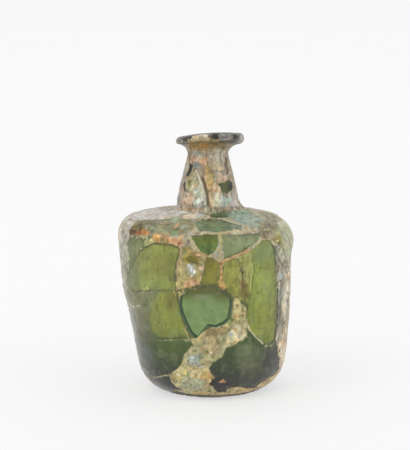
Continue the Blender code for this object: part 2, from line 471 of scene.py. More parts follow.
PATCHES = (
    crust("left edge haze", (182, 176, 162), ((106, 226), (120, 214), (128, 236), (126.5, 262), (127.5, 283),
        (135, 306), (141, 338), (150, 372), (120, 374), (106, 300)), low=(158, 152, 140), ragged=0.8,
        soft=6.0, mottle=0.3),
    glass("left translucent strip", (184, 187, 117), ((126, 240), (137, 238), (150, 238), (147, 246),
        (139, 252), (134, 262), (129, 277), (127, 290), (124.6, 270)), ragged=0.5, soft=7.0, haze=0.35),
    crust("left strip, hazy border", (158, 157, 134), ((124.4, 236), (128, 236), (129.2, 262), (127.6, 277),
        (128.2, 290), (125.6, 290), (123.8, 268), (123.6, 250)), ragged=0.7, soft=3.5, mottle=0.3),
    glass("left pane", (212, 210, 104), ((126.8, 281.6), (131.4, 266.5), (135.6, 258.8), (140.2, 252),
        (146.4, 246.8), (155.8, 244.2), (168.6, 245.2), (179.4, 247.6), (178.6, 255), (175.8, 265.7),
        (174.4, 275.3), (175.7, 289.3), (158.5, 289.8), (141.9, 290.4), (128.2, 291.8)), low=(216, 216, 114),
        ragged=0.12, mottle=0.28),
    glass("left pane, hazy side", (184, 190, 120), ((127, 282), (131, 268), (136, 260), (141, 258),
        (140, 272), (142, 290), (128, 291)), ragged=0.6, soft=6.0, haze=0.3),
    glass("left pane, brown middle", (204, 188, 96), ((150, 258), (164, 256), (172, 262), (166, 274),
        (154, 272)), soft=5.0),
    crust("joint under the left pane", (146, 138, 98), ((128, 289), (140, 288.8), (153, 289.6), (154, 294),
        (144, 296), (134, 295), (128, 294)), ragged=0.8, soft=1.4, mottle=0.4, speck=0.1),
    glass("lower left haze", (170, 162, 118), ((127, 293), (158.5, 291.2), (155, 305), (149, 318), (150, 330),
        (156, 339), (134, 342), (130, 318)), low=(120, 116, 84), ragged=0.5, soft=3.4, mottle=0.3, haze=0.5),
    glass("lower left pane", (216, 206, 94), ((159, 292), (176, 290.8), (179.5, 301.6), (182.6, 322),
        (187.5, 337), (160, 338), (152, 331), (149, 318), (153.5, 304)), low=(190, 184, 80), ragged=0.6,
        soft=3.4, mottle=0.22),
    glass("lower left pane, brown fold", (172, 150, 74), ((166, 295), (173, 294), (176, 306), (170, 312),
        (166, 304)), ragged=0.8, soft=3.0),
    glass("dark lower left", (98, 111, 52), ((133, 341), (159, 340.4), (190, 340.2), (192, 344), (186, 354),
        (181, 362), (172, 372), (169, 375), (153.5, 377), (146, 370), (138, 358)), low=(72, 72, 62),
        ragged=0.3, soft=0.8, mottle=0.22, haze=0.2),
    glass("dark lower left, grey side", (110, 112, 104), ((134, 342), (146, 343), (152, 352), (155, 364),
        (152, 376), (143, 366), (137, 354)), ragged=0.8, soft=6.0, haze=0.45),
    glass("dark heel, left", (78, 72, 64), ((148, 372), (154, 377.6), (168, 376), (180, 389), (176, 400),
        (160, 396), (150, 386)), ragged=0.4, soft=0.8, haze=0.2, mottle=0.3),
    glass("black base flake", (48, 46, 54), ((163.4, 379.6), (168, 381), (174, 386), (179.4, 389.4),
        (172, 391), (166, 388), (162, 384)), ragged=0.5, mottle=0.2),
    glass("low right glass", (76, 90, 45), ((246, 330), (258, 339), (268, 347), (277, 343.6), (280, 352),
        (280, 366), (275, 376), (262, 384), (240, 388), (226, 393), (212, 390), (205, 380), (208, 362),
        (222, 350), (238, 340)), low=(86, 80, 83), ragged=0.3, mottle=0.2, haze=0.15),
    glass("dust on the low right glass", (124, 122, 98), ((236, 346), (250, 344), (262, 350), (264, 364),
        (254, 376), (242, 374), (234, 362)), ragged=1.2, soft=5.0, haze=0.4, mottle=0.2),
    glass("dark right of the dust", (80, 77, 76), ((263, 350), (278, 348), (280, 364), (272, 374),
        (262, 372)), ragged=0.6, soft=3.0, haze=0.15),
    glass("black glass by the crust", (72, 60, 68), ((209, 378), (218, 376.5), (228, 378), (230, 386),
        (226, 392), (214, 391), (206, 384)), ragged=0.4, soft=1.6, haze=0.05),
    crust("low crust", (162, 157, 114), ((186, 338), (191.6, 344.1), (186.5, 353), (181.4, 360.7),
        (180.1, 365.8), (172.5, 372.1), (169.3, 376), (171.2, 381.1), (178.9, 387.5), (190, 399), (224, 399),
        (216, 390.5), (208.8, 383.6), (214.6, 377.9), (212, 374.7), (209.5, 368.3), (212, 363.2),
        (222.2, 356.8), (224.8, 347.9), (233.7, 345.4), (238.8, 339), (247.1, 337.7), (247.1, 332.6),
        (242.6, 323.7), (233, 318), (222, 324), (208, 328), (200, 336)), low=(192, 175, 128), ragged=0.7,
        raised=0.55, mottle=0.3, speck=0.1),
    crust("low crust, tan", (170, 152, 112), ((203, 338), (216, 334), (220, 346), (213, 354), (203, 354),
        (198, 346)), ragged=1.0, soft=3.0, raised=0.55, mottle=0.3),
    crust("low crust, blue grey", (157, 160, 144), ((189.7, 357), (195, 353.6), (200.7, 356), (201, 364),
        (197, 368), (190.5, 366)), ragged=1.4, soft=3.0, raised=0.45, mottle=0.3, speck=0.05),
    crust("low crust, olive grey", (160, 162, 132), ((182, 380), (194, 378), (204, 382), (203, 389),
        (190, 390), (182, 386)), ragged=1.0, soft=3.0, raised=0.4, mottle=0.3, speck=0.05),
    crust("low crust, orange", (200, 162, 104), ((199.6, 374), (206, 372.4), (212.8, 374), (212, 378.6),
        (203, 379)), soft=1.8, raised=0.55, mottle=0.2),
    crust("low crust, cream head", (191, 181, 142), ((227, 334), (233, 326), (240, 325), (246.6, 333),
        (245.4, 337.6), (238, 341), (232, 344.6), (226, 343)), soft=1.6, raised=0.6, mottle=0.3, speck=0.15),
    glass("green by the gap, right", (150, 160, 84), ((229.6, 312.4), (232.4, 309.6), (236, 312.6),
        (237, 317.4), (231.4, 320.6), (228.2, 318.4)), ragged=0.6, soft=1.2, haze=0.2),
    crust("brown foot of the gap", (140, 122, 82), ((206, 329), (214, 330), (224, 327.4), (229, 329),
        (224, 334), (212, 336), (206, 335)), soft=1.6, raised=0.3, mottle=0.4),
    crust("base band right", (200, 182, 138), ((209, 391), (216.5, 391.6), (225.9, 391.6), (228.6, 387.6),
        (242, 386.5), (254, 387.6), (260.7, 382.4), (270, 377), (275.4, 374), (279, 360), (290, 352),
        (286, 378), (262, 399), (205, 400)), ragged=0.6, raised=0.35, mottle=0.3, low=(158, 136, 96)),
    crust("base pink flake", (206, 160, 132), ((218.2, 382.2), (222.6, 378.2), (227.2, 381.4), (224, 383)),
        ragged=0.4, raised=0.3),
    crust("right edge crust", (184, 174, 149), ((276.5, 262), (290, 240), (300, 250), (296, 340), (291, 372),
        (278, 377), (276.5, 350), (275, 342), (276, 310)), low=(200, 182, 154), ragged=0.6, raised=0.3,
        soft=0.8, mottle=0.45, speck=0.2, streaks=0.7),
    crust("right grey strip", (150, 143, 124), ((275.4, 258), (279, 262), (284, 276), (282.4, 292),
        (281, 318), (281.4, 340), (276.4, 344), (276.6, 310), (277, 284)), ragged=0.7, soft=2.6, mottle=0.45,
        speck=0.05, raised=0.15, streaks=0.8),
    crust("right smooth cream", (216, 196, 170), ((279, 347), (286, 342), (288, 356), (284, 368),
        (279.6, 366)), ragged=0.6, soft=1.6, raised=0.25, mottle=0.14),
    crust("right upper haze", (170, 170, 136), ((270, 222), (280, 216), (293, 222), (299, 250), (292, 262),
        (286, 256), (283, 246), (276, 238)), ragged=0.6, soft=4.0, mottle=0.16),
    crust("right olive fleck", (138, 130, 66), ((273.8, 235.5), (278.4, 233.4), (282.4, 238), (281.6, 244.4),
        (277.6, 247), (274.2, 242.4)), ragged=1.0, soft=3.4, mottle=0.4),
    glass("right pane", (218, 218, 102), ((250.3, 254.8), (254.1, 271.4), (251.5, 289.3), (248.4, 305.8),
        (246.4, 318.6), (250.5, 331), (266, 343.8), (273.4, 339.4), (275.4, 325), (276.2, 289.3),
        (275.2, 266.3), (272.6, 250.5), (269.2, 240.4), (261.7, 240.8), (250.3, 251)), low=(197, 194, 80),
        ragged=0.12, mottle=0.3, haze=0.2, streaks=0.3),
    glass("right pane, grey head", (190, 198, 128), ((252, 252), (262, 242), (270, 243), (273, 254),
        (262, 262), (254, 264)), ragged=0.6, soft=5.0, haze=0.3),
    # Painted highlight: a lighter band across the middle of the right pane.
    glass("right pane, bright middle", (222, 226, 116), ((256, 272), (272, 270), (273, 300), (262, 304),
        (254, 296)), ragged=0.7, soft=5.0, haze=0.3),
    glass("streaked pane", (255, 232, 134), ((238, 257), (251, 250), (254, 271), (251.5, 289), (247.5, 308),
        (238.5, 300), (237.5, 275)), ragged=0.4, soft=0.8, mottle=0.3, haze=0.4, streaks=0.9),
    glass("brown dab", (182, 142, 66), ((240, 281), (245, 279), (249, 286), (248.4, 296), (243, 299),
        (239.4, 296)), ragged=0.8, soft=1.8, mottle=0.3),
    glass("middle pane", (224, 209, 100), ((225.4, 261.8), (237, 258.4), (238.2, 271.4), (239, 297),
        (232.4, 296.4), (225.2, 288), (223.2, 276.5)), ragged=0.2, soft=0.8, mottle=0.34, haze=0.25,
        streaks=0.4),
    crust("crust by the gap, right", (176, 164, 116), ((233, 298), (240, 300), (247, 309), (247.5, 322),
        (246, 330), (238, 322), (231, 320), (233.4, 308)), raised=0.3, soft=0.8, mottle=0.4, speck=0.1),
    crust("crust left of the gap", (160, 148, 96), ((172, 290), (180, 288.5), (180.8, 297), (179.8, 307),
        (182.5, 317), (186.5, 326), (193, 338), (198, 342), (189, 341.5), (184, 328), (180.2, 307),
        (177, 297)), ragged=0.5, raised=0.15, soft=0.8, mottle=0.35),
    crust("middle crust", (150, 136, 94), ((179.6, 248), (190, 247), (199.3, 252.6), (205, 262), (203, 272),
        (201.5, 282.5), (191.6, 288.4), (176.3, 291), (175.4, 271.4), (178, 259)), low=(169, 159, 102),
        ragged=0.6, raised=0.3, mottle=0.4, speck=0.15),
    glass("olive dab", (186, 158, 37), ((183.9, 258), (188, 255.8), (196, 256), (199, 260), (197, 264),
        (188, 264)), ragged=0.7, soft=2.4),
    crust("brown dab over the olive", (158, 122, 70), ((190, 253), (197, 252.8), (201, 256.4), (197, 258),
        (191, 256.6)), ragged=0.7, soft=1.2, mottle=0.2),
    crust("grey round the pearls", (150, 150, 118), ((185.6, 266), (190, 263.8), (197, 265.6), (199, 271),
        (196, 277), (188.5, 275)), ragged=0.8, soft=1.6, raised=0.1, mottle=0.3, speck=0.2),
    crust("peach flakes", (198, 158, 116), ((184.5, 281), (192, 278.6), (199.8, 280), (200.6, 286),
        (194, 289), (187, 286)), ragged=0.8, soft=2.0, raised=0.3, mottle=0.5, speck=0.5),
    glass("yellow pane", (192, 161, 49), ((204.4, 263.8), (206.9, 256.5), (218.4, 261.2), (219.4, 271.4),
        (217.4, 282.9), (207, 285.2), (200.5, 282.2), (204.6, 271.4)), ragged=0.25, soft=0.8, mottle=0.42,
        low=(176, 161, 56)),
    crust("orange band", (190, 153, 98), ((219.2, 262), (224.8, 259.5), (222.8, 276.5), (225, 288),
        (222, 290.5), (217.8, 284), (219.6, 272)), ragged=0.5, raised=0.3, soft=0.8, mottle=0.35),
    glass("green triangle", (140, 149, 47), ((191, 236.6), (204.4, 235), (218.4, 235.2), (218.4, 243.4),
        (215.8, 251), (208.2, 255), (201.8, 253), (196.7, 244.6)), ragged=0.35, soft=0.6, mottle=0.7,
        haze=0.3, low=(115, 147, 70)),
    glass("slate pane", (195, 197, 150), ((222.9, 235.4), (261.7, 233.6), (256.6, 242), (249, 246.5),
        (237.5, 253.8), (224.1, 258), (222.9, 248.5)), ragged=0.2, soft=0.6, mottle=0.26, haze=0.2),
    crust("left shoulder haze", (195, 188, 176), ((112, 226), (120, 211), (140, 204), (168, 200), (190, 206),
        (206, 213), (196, 220), (172, 219), (150, 222), (132, 225)), ragged=0.8, soft=2.4, mottle=0.16,
        streaks=0.05),
    crust("left shoulder, greenish", (132, 127, 94), ((135, 221), (150, 219.6), (168, 218.6), (190, 219),
        (196, 224), (190, 232), (170, 236), (152, 236), (140, 228)), ragged=1.0, soft=3.0, mottle=0.4,
        speck=0.1),
    crust("left shoulder, mauve end", (186, 174, 158), ((117, 222), (127, 219), (131, 228), (130, 238),
        (119, 240)), ragged=0.8, soft=2.0, mottle=0.4),
    crust("window by the rust", (140, 145, 118), ((151.4, 227), (157, 225.4), (163, 227), (162, 232),
        (153, 232.6)), soft=1.8),
    crust("window over the amber", (122, 136, 104), ((168.6, 231), (173, 229.8), (178, 231), (177.4, 235.4),
        (170, 236)), ragged=0.8, soft=1.4),
    crust("window on the slope", (148, 152, 120), ((170, 217.8), (176, 216.4), (182, 218), (184, 223),
        (176, 224.4), (170, 222)), soft=2.0),
    crust("window by the edge joint", (146, 146, 122), ((181, 225.8), (186, 224), (190, 227), (188, 231),
        (182, 230)), soft=1.6),
    crust("rust patch", (150, 88, 34), ((134, 229.6), (138.6, 228), (143, 229.2), (144.2, 233.2),
        (140, 235.6), (134.6, 235)), soft=1.6, raised=0.1, mottle=0.5),
    crust("rust patch, dark side", (88, 66, 26), ((129, 230.4), (133, 228), (135.8, 230.8), (134.8, 234.6),
        (130.4, 234.6)), soft=1.4, mottle=0.3),
    crust("rust patch, pink side", (182, 124, 68), ((142.2, 229.2), (145.6, 228.6), (148.2, 232.2),
        (146.8, 235.8), (142.8, 235)), soft=1.4, mottle=0.3),
    crust("rust green fleck", (96, 86, 40), ((131, 228), (136, 224.4), (142, 225), (144.6, 227.4),
        (141, 229.6), (134, 231)), soft=1.2, mottle=0.5),
    crust("amber, yellow", (192, 150, 90), ((152.6, 236.6), (157, 234.6), (160.6, 236.4), (160.4, 243.4),
        (154.6, 243.6)), ragged=0.7, soft=2.0, raised=0.2, mottle=0.3, speck=0.1),
    crust("amber, cream", (178, 180, 126), ((148.6, 239), (151.6, 238), (153.2, 241), (151.4, 244),
        (148.4, 243.6)), ragged=0.6, soft=0.9, raised=0.15),
    crust("amber, olive", (132, 122, 68), ((160.2, 238), (164, 237), (168.4, 240), (169, 244.4),
        (161, 243.6)), ragged=0.7, soft=1.2, mottle=0.3),
    crust("amber, pink", (192, 147, 104), ((161, 234.2), (164, 233.4), (170, 238), (178, 238.4), (183.6, 236),
        (184.4, 244), (179, 247.4), (170, 244), (165, 239)), ragged=0.7, soft=1.8, raised=0.25, mottle=0.3,
        speck=0.1),
    crust("shoulder green", (74, 90, 56), ((210.6, 217.2), (212.4, 213), (217, 210), (224.2, 209.8),
        (230.4, 211.4), (228.6, 217.4), (224, 218.4), (217, 218)), ragged=1.2, soft=2.6, mottle=0.4),
    crust("shoulder teal, back", (144, 159, 139), ((227, 212), (234, 209.4), (246, 210.4), (255, 214.4),
        (261, 221), (260, 227.6), (252, 228.8), (245, 225), (232, 219.6)), soft=2.4, mottle=0.24,
        streaks=0.3),
    glass("shoulder teal, front", (166, 191, 149), ((194, 223.6), (202, 219.4), (216, 219.8), (230, 223),
        (241, 227.6), (230, 230.2), (212, 231.6), (198, 229.8)), soft=2.0, mottle=0.5, haze=0.5),
    crust("right shoulder haze", (136, 131, 103), ((255, 212), (268, 213), (276, 219), (274, 232), (266, 238),
        (257, 234), (256, 226), (262, 222)), ragged=1.0, soft=2.6, mottle=0.4, speck=0.15),
    crust("right shoulder, pale end", (196, 192, 172), ((268, 212), (280, 214), (288, 224), (276, 224)),
        soft=2.0, mottle=0.3),
    crust("right upper flakes", (156, 152, 128), ((274.6, 243), (280.6, 245.4), (285.4, 255), (288, 266),
        (283, 268), (277.6, 263), (275.4, 252)), ragged=1.0, soft=2.0, mottle=0.5, speck=0.3, streaks=0.4),
    crust("base band left", (158, 146, 114), ((171, 389.4), (175.8, 388.8), (181, 389.6), (188, 392.6),
        (190, 396), (184, 396), (177, 393.4)), ragged=1.0, soft=2.0, mottle=0.5),
)

SEAMS = (
    Seam("left pane head", ((127, 279), (132.2, 267), (135.4, 259.3), (139.9, 252.3), (146.3, 246.6),
        (155.8, 244), (168.6, 245), (178.4, 247)), (84, 84, 46), 0.5, -0.15, 0.1),
    Seam("left pane foot", ((131, 291), (144, 290.8), (153, 290.2)), (100, 92, 62), 0.5, -0.15, 0.5),
    Seam("left pane foot, dark", ((158.6, 290.2), (162, 290), (165.6, 290.2)), (58, 54, 34), 0.6, -0.1, 0.1),
    filled("left pane foot, cream", ((154.6, 292), (160, 292.6), (168.6, 293.4)), (186, 180, 126), 0.6, 0.15,
        0.3),
    Seam("left pane side", ((178.8, 248.5), (178.5, 255), (175.6, 265.7), (174.2, 275.3), (175.6, 290)),
        (92, 72, 44), 0.5, -0.15, 0.25),
    filled("left pane side bead", ((181, 250), (178.6, 259), (177, 269), (177.6, 279), (177.8, 290)),
        (168, 146, 108), 0.8, 0.15, 0.35),
    filled("flecked joint", ((128, 301), (133.5, 307), (139, 305.6), (144.5, 304.6)), (206, 194, 162), 0.7,
        0.2, 0.4),
    Seam("flecked joint, faint", ((143.5, 305), (153.6, 299), (157.6, 292)), (124, 118, 84), 0.5, -0.1, 0.55),
    Seam("lower pane foot", ((157, 338.4), (165, 338.4), (174, 338.4), (185, 336.6)), (54, 46, 30), 0.6, -0.2,
        0.3),
    filled("lower pane foot bead", ((158, 340.2), (172, 340.2), (184, 340)), (182, 174, 126), 0.6, 0.2, 0.08),
    filled("heel joint, left", ((145.8, 369.6), (150, 374), (153.5, 377.2), (161, 376.4), (169.4, 374.8)),
        (194, 180, 142), 0.7, 0.25, 0.2),
    filled("heel joint, left, low", ((153.5, 377.2), (157, 380), (161.6, 384)), (168, 152, 120), 0.5, 0.15,
        0.3),
    Seam("gap left line", ((177.6, 293.5), (178.4, 303), (181.2, 316), (186, 328), (191, 338)), (82, 76, 46),
        0.5, -0.1, 0.25),
    Seam("low crust branch", ((186.6, 338.5), (192, 343), (192.5, 346)), (88, 78, 54), 0.7, -0.2, 0.1),
    filled("right pane foot", ((247.6, 326.6), (252.6, 333.4), (258.3, 339), (264, 345.4), (268.4, 346.8),
        (273.6, 343.8)), (216, 206, 166), 0.85, 0.3, 0.12),
    Seam("right pane side", ((269.8, 241.4), (273.6, 251), (276, 266), (277.2, 283.5), (277, 310), (276, 328),
        (273.6, 340)), (92, 94, 72), 0.5, -0.2, 0.1),
    Seam("right pane inner side", ((251, 252), (254.3, 271), (251.8, 289), (248.6, 305), (246.4, 318)),
        (104, 100, 52), 0.5, -0.1, 0.35),
    Seam("streak, first", ((238.4, 258.6), (239, 266), (240.6, 269), (242.4, 274)), (62, 48, 36), 0.7, -0.1,
        0.3),
    filled("streak, second", ((243.6, 256), (244.2, 268), (246, 280)), (190, 168, 118), 0.5, 0.15, 0.45),
    filled("streak, third", ((239.4, 275.8), (241, 284), (240.4, 296.6)), (186, 152, 104), 0.5, 0.2, 0.25),
    Seam("streak, fourth", ((247.5, 256), (248.6, 270), (250.2, 286)), (112, 104, 62), 0.45, -0.1, 0.45),
    Seam("streak, fifth", ((242, 257), (246, 262), (247, 268)), (92, 84, 52), 0.4, -0.1, 0.4),
    Seam("streak, sixth", ((241.6, 262), (241.8, 270), (243, 279), (242.6, 292)), (96, 76, 46), 0.5, -0.1,
        0.3),
    Seam("streak, seventh", ((245, 285), (245.6, 292), (244.6, 300)), (104, 86, 50), 0.5, -0.1, 0.3),
    filled("streak, eighth", ((249, 256), (250.4, 266), (252.4, 280)), (206, 184, 128), 0.45, 0.1, 0.5),
    Seam("under the brown dab", ((239, 301.6), (243, 302.6), (247, 305)), (78, 66, 42), 1.1, -0.1, 0.2),
    filled("triangle side bead", ((190.5, 239), (196, 246.5), (201.2, 254.2), (208.2, 256.6)),
        (186, 172, 120), 0.7, 0.3, 0.15),
    filled("triangle foot", ((208.2, 256.6), (214, 255.6), (220, 259.4)), (190, 168, 122), 1.0, 0.35, 0.0),
    filled("triangle right bead", ((220.6, 235), (220.6, 245), (219.6, 253), (221, 259.4)), (176, 160, 112),
        0.9, 0.3, 0.2),
    filled("slate foot bead", ((221, 261.4), (231, 258.6), (239, 254), (248.6, 250)), (192, 146, 92), 0.9,
        0.35, 0.1),
    Seam("slate foot line", ((223.8, 257.6), (237.5, 253), (248.7, 246), (256.6, 241.6)), (70, 66, 44), 0.5,
        -0.1, 0.3),
    filled("yellow pane head", ((197, 252.5), (203, 253.6), (207, 256.6)), (180, 144, 92), 0.8, 0.3, 0.1),
    filled("pink edge by the yellow pane", ((203.2, 265), (202.4, 272), (200.6, 279)), (224, 194, 164), 0.7,
        0.2, 0.2),
    Seam("mid to gap", ((217.4, 285), (222.6, 291.4), (228, 296), (233.4, 300.4)), (132, 96, 60), 0.7, -0.05,
        0.15),
    Seam("gap head line", ((176, 291), (184, 289.2), (196, 287), (206, 284.8), (216, 285.6)), (128, 94, 54),
        0.6, -0.05, 0.25),
    filled("shoulder edge joint", ((190, 231.6), (204, 232.8), (218, 233.4), (232, 232), (246, 230.4),
        (258, 229.4)), (192, 178, 136), 0.8, 0.3, 0.2),
    filled("shoulder slant joint", ((223, 219.4), (232, 221.8), (240, 224.4), (248, 227)), (188, 174, 138),
        0.7, 0.2, 0.3),
    Seam("shoulder right joint", ((266, 215.6), (268, 220), (268.8, 226)), (92, 82, 62), 0.5, -0.1, 0.3),
    filled("shoulder flow, first", ((145.6, 217.2), (148.8, 215), (154, 213.7), (161, 213.6)), (112, 96, 80),
        0.6, -0.1, 0.1),
    filled("shoulder flow, second", ((163.5, 219.6), (166.7, 217.4), (171.8, 216), (181.3, 216.4)),
        (114, 104, 80), 0.6, -0.1, 0.15),
    filled("shoulder flow, third", ((174, 210.4), (181.3, 209.6), (190.3, 210.2), (198, 209.4)),
        (108, 84, 58), 0.6, -0.1, 0.1),
    filled("shoulder flow, fourth", ((192.8, 222.4), (200.5, 220.8), (208, 219.4)), (108, 98, 70), 0.7, -0.1,
        0.15),
    filled("shoulder flow, fifth", ((183, 214.6), (192, 213), (203, 213.6), (210, 215)), (120, 108, 84), 0.6,
        -0.1, 0.25),
    filled("over the rust", ((140, 223.8), (147, 224), (151, 224.6), (155.8, 227)), (80, 68, 50), 0.5, -0.1,
        0.15),
    filled("left edge crack", ((120.4, 253), (123, 258.7), (124.3, 265.7), (125.4, 272)), (92, 82, 70), 0.7,
        -0.2, 0.1),
    filled("right edge crack", ((282, 318), (283, 323), (282.4, 330)), (76, 74, 50), 0.9, -0.2, 0.1),
    filled("right edge crack, upper", ((276.5, 254.8), (281.2, 263.4), (287, 273.9)), (84, 78, 66), 0.6,
        -0.15, 0.1),
    filled("right edge streak, first", ((285.6, 262), (286.4, 276), (285.4, 292)), (150, 144, 128), 0.8, -0.1,
        0.3),
    filled("right edge streak, second", ((287.6, 296), (286.8, 310), (286, 326)), (132, 128, 112), 0.7, -0.1,
        0.45),
    filled("right edge streak, third", ((279, 292), (279.4, 306), (278.8, 324)), (104, 104, 92), 0.7, -0.1,
        0.35),
    # Painted shade: a dark line along the bottom edge of the base where it meets the floor, laid as a seam.
    filled("base foot, dark", ((168, 394), (180, 396), (205, 397.2), (232, 396.6), (252, 393), (262, 389)),
        (104, 84, 62), 1.0, 0.0, 0.25),
)

NECK_PATCHES = (
    crust("under the rim, grey", (152, 150, 134), ((193, 151), (204, 151), (205, 155.6), (194, 156)),
        soft=1.6, mottle=0.3),
    crust("neck beige", (178, 166, 142), ((211, 149), (226, 148), (229, 162), (231, 178), (218, 180),
        (213, 168)), ragged=0.8, soft=2.0, mottle=0.3, streaks=0.5),
    crust("neck pink", (184, 152, 124), ((190, 157.4), (198, 156.6), (207, 158), (207, 164), (199, 163.4),
        (192, 162)), soft=1.6, mottle=0.3),
    crust("neck blue grey", (150, 152, 144), ((193.6, 163), (199.6, 163), (199.6, 168), (194.4, 168)),
        soft=1.4, mottle=0.2),
    crust("neck left mauve", (162, 148, 136), ((184, 168), (187, 174), (185.6, 190), (184, 203), (174, 206),
        (178, 186)), ragged=0.7, soft=1.2, mottle=0.26),
    crust("neck pale left", (170, 162, 136), ((184, 160), (189, 158), (188.6, 168), (184.4, 172)), ragged=0.8,
        soft=1.2, mottle=0.2),
    crust("neck green left", (176, 168, 132), ((188, 177), (196, 172), (199.6, 182), (197, 190), (187, 192),
        (185.6, 184)), soft=1.6, mottle=0.4, speck=0.5),
    crust("neck green specks", (146, 142, 88), ((187, 182), (190.6, 181), (191, 188), (188, 189.6)),
        ragged=1.0, soft=1.0, mottle=0.4),
    crust("neck brown left foot", (186, 168, 144), ((185, 193), (193, 192), (195, 200), (192, 207),
        (182, 207)), soft=1.6, mottle=0.3),
    crust("neck silver", (172, 176, 162), ((193, 190), (202, 184), (205, 192), (207.6, 206.4), (196, 207),
        (194, 199)), soft=1.6, mottle=0.3, speck=0.7),
    crust("neck gold", (186, 156, 101), ((204, 168), (209, 166.6), (212.6, 174), (213, 188), (211, 194),
        (207.4, 186), (205.4, 176)), ragged=0.7, soft=1.4, mottle=0.3, speck=0.1),
    crust("neck green streak", (120, 124, 80), ((205, 160.6), (207, 162), (209.4, 167), (208, 167.6)),
        ragged=0.5, soft=0.6),
    crust("neck pink right", (190, 164, 140), ((216.6, 175), (224, 173), (229, 177), (226, 181),
        (218, 180.6)), soft=1.6, mottle=0.2),
    crust("neck peach", (224, 190, 146), ((214, 187), (219, 185.6), (221.4, 190), (219, 193), (214, 192.4)),
        ragged=0.7, soft=1.0, mottle=0.16),
    crust("neck cream foot", (216, 210, 182), ((209.6, 195), (219.6, 194), (221, 206), (210.4, 206.6)),
        soft=1.6, mottle=0.3, speck=0.5),
    crust("neck squiggles", (170, 164, 142), ((219.4, 192.6), (231, 192), (231.6, 198), (220.6, 198.6)),
        soft=1.4, mottle=0.6, speck=0.3),
    crust("neck blue", (188, 204, 202), ((221, 198.6), (231, 197.4), (232, 204), (226, 206.6),
        (221.4, 206.4)), ragged=0.8, soft=1.6, mottle=0.24, speck=0.3),
    crust("neck mauve right", (188, 176, 170), ((232, 188), (236, 190), (240, 206), (230.6, 207), (232, 197)),
        ragged=0.7, soft=1.4, mottle=0.2),
    crust("neck right brown", (126, 98, 76), ((224.8, 158), (226.6, 158.4), (228.4, 168), (229, 176),
        (226.6, 174.6), (225.4, 167)), soft=0.9, mottle=0.5),
    glass("neck bare spot", (136, 146, 76), ((217.6, 183.4), (219.5, 181.7), (224.7, 181.4), (228.1, 182.5),
        (230.4, 182), (232.5, 185.1), (231.9, 189.7), (229.3, 189.7), (227, 191.4), (222.4, 190.9),
        (220.1, 186.9)), raised=-0.1, mottle=0.6),
    glass("neck bare spot, black end", (46, 40, 42), ((228.4, 182.6), (230.4, 182), (232.5, 185.1),
        (231.9, 190), (229, 189.7), (228, 187)), ragged=0.3, soft=0.6, raised=-0.1, haze=0.0),
    glass("neck slit", (40, 34, 24), ((189.7, 163.3), (193.1, 166.2), (190.8, 173.6), (189.1, 176.5),
        (187.1, 176.5), (187.4, 173), (189.7, 168.5), (189.4, 165)), ragged=0.3, soft=0.5, raised=-0.15,
        haze=0.0),
    glass("neck slit, low", (74, 66, 48), ((184.2, 182.4), (185.6, 182.4), (185.4, 188), (186.2, 191.6),
        (184.6, 191), (183.8, 186)), ragged=0.4, soft=0.6, raised=-0.1, haze=0.0),
    crust("under the rim", (172, 138, 84), ((189, 143.4), (200, 142.6), (209, 142.4), (209, 148.4),
        (203, 150.2), (193, 149.6), (190, 147)), ragged=0.6, soft=2.6, mottle=0.26),
    crust("under the rim, right", (130, 114, 80), ((208, 142.2), (227, 142.4), (226, 147), (218, 148.6),
        (210, 149)), ragged=0.6, soft=2.6, mottle=0.3),
)

NECK_SEAMS = (
    filled("neck crease, top", ((195.3, 167.6), (199.4, 174.8), (203, 181)), (116, 98, 78), 0.5, -0.3, 0.0),
    filled("neck crease", ((203, 180), (204.6, 185), (206.3, 192), (208, 200.6), (208.6, 206)), (98, 82, 62),
        1.1, -0.4, 0.0),
    filled("neck ridge, left", ((196.4, 171), (199.6, 178), (202.4, 186), (204, 194)), (212, 204, 178), 0.9,
        0.25, 0.5),
    filled("neck ridge, right", ((204.8, 176), (207, 184), (209.2, 194), (210.6, 204)), (214, 184, 138), 0.6,
        0.3, 0.15),
    filled("neck hair line", ((212, 176.5), (214.4, 178.6), (216.7, 183.4)), (94, 88, 70), 0.4, -0.1, 0.05),
    filled("neck upright line, first", ((215.6, 158), (216, 166), (215.4, 174)), (146, 138, 118), 0.5, -0.1,
        0.3),
    filled("neck upright line, second", ((220.2, 156), (220.8, 166), (221.4, 173)), (140, 132, 114), 0.5,
        -0.1, 0.35),
    filled("neck foot line", ((188, 208.4), (196, 208.8), (204, 208.4)), (136, 114, 90), 0.4, -0.1, 0.15),
    filled("neck foot line, right", ((214, 207.6), (226, 207), (236, 208)), (118, 104, 82), 0.5, -0.1, 0.1),
)

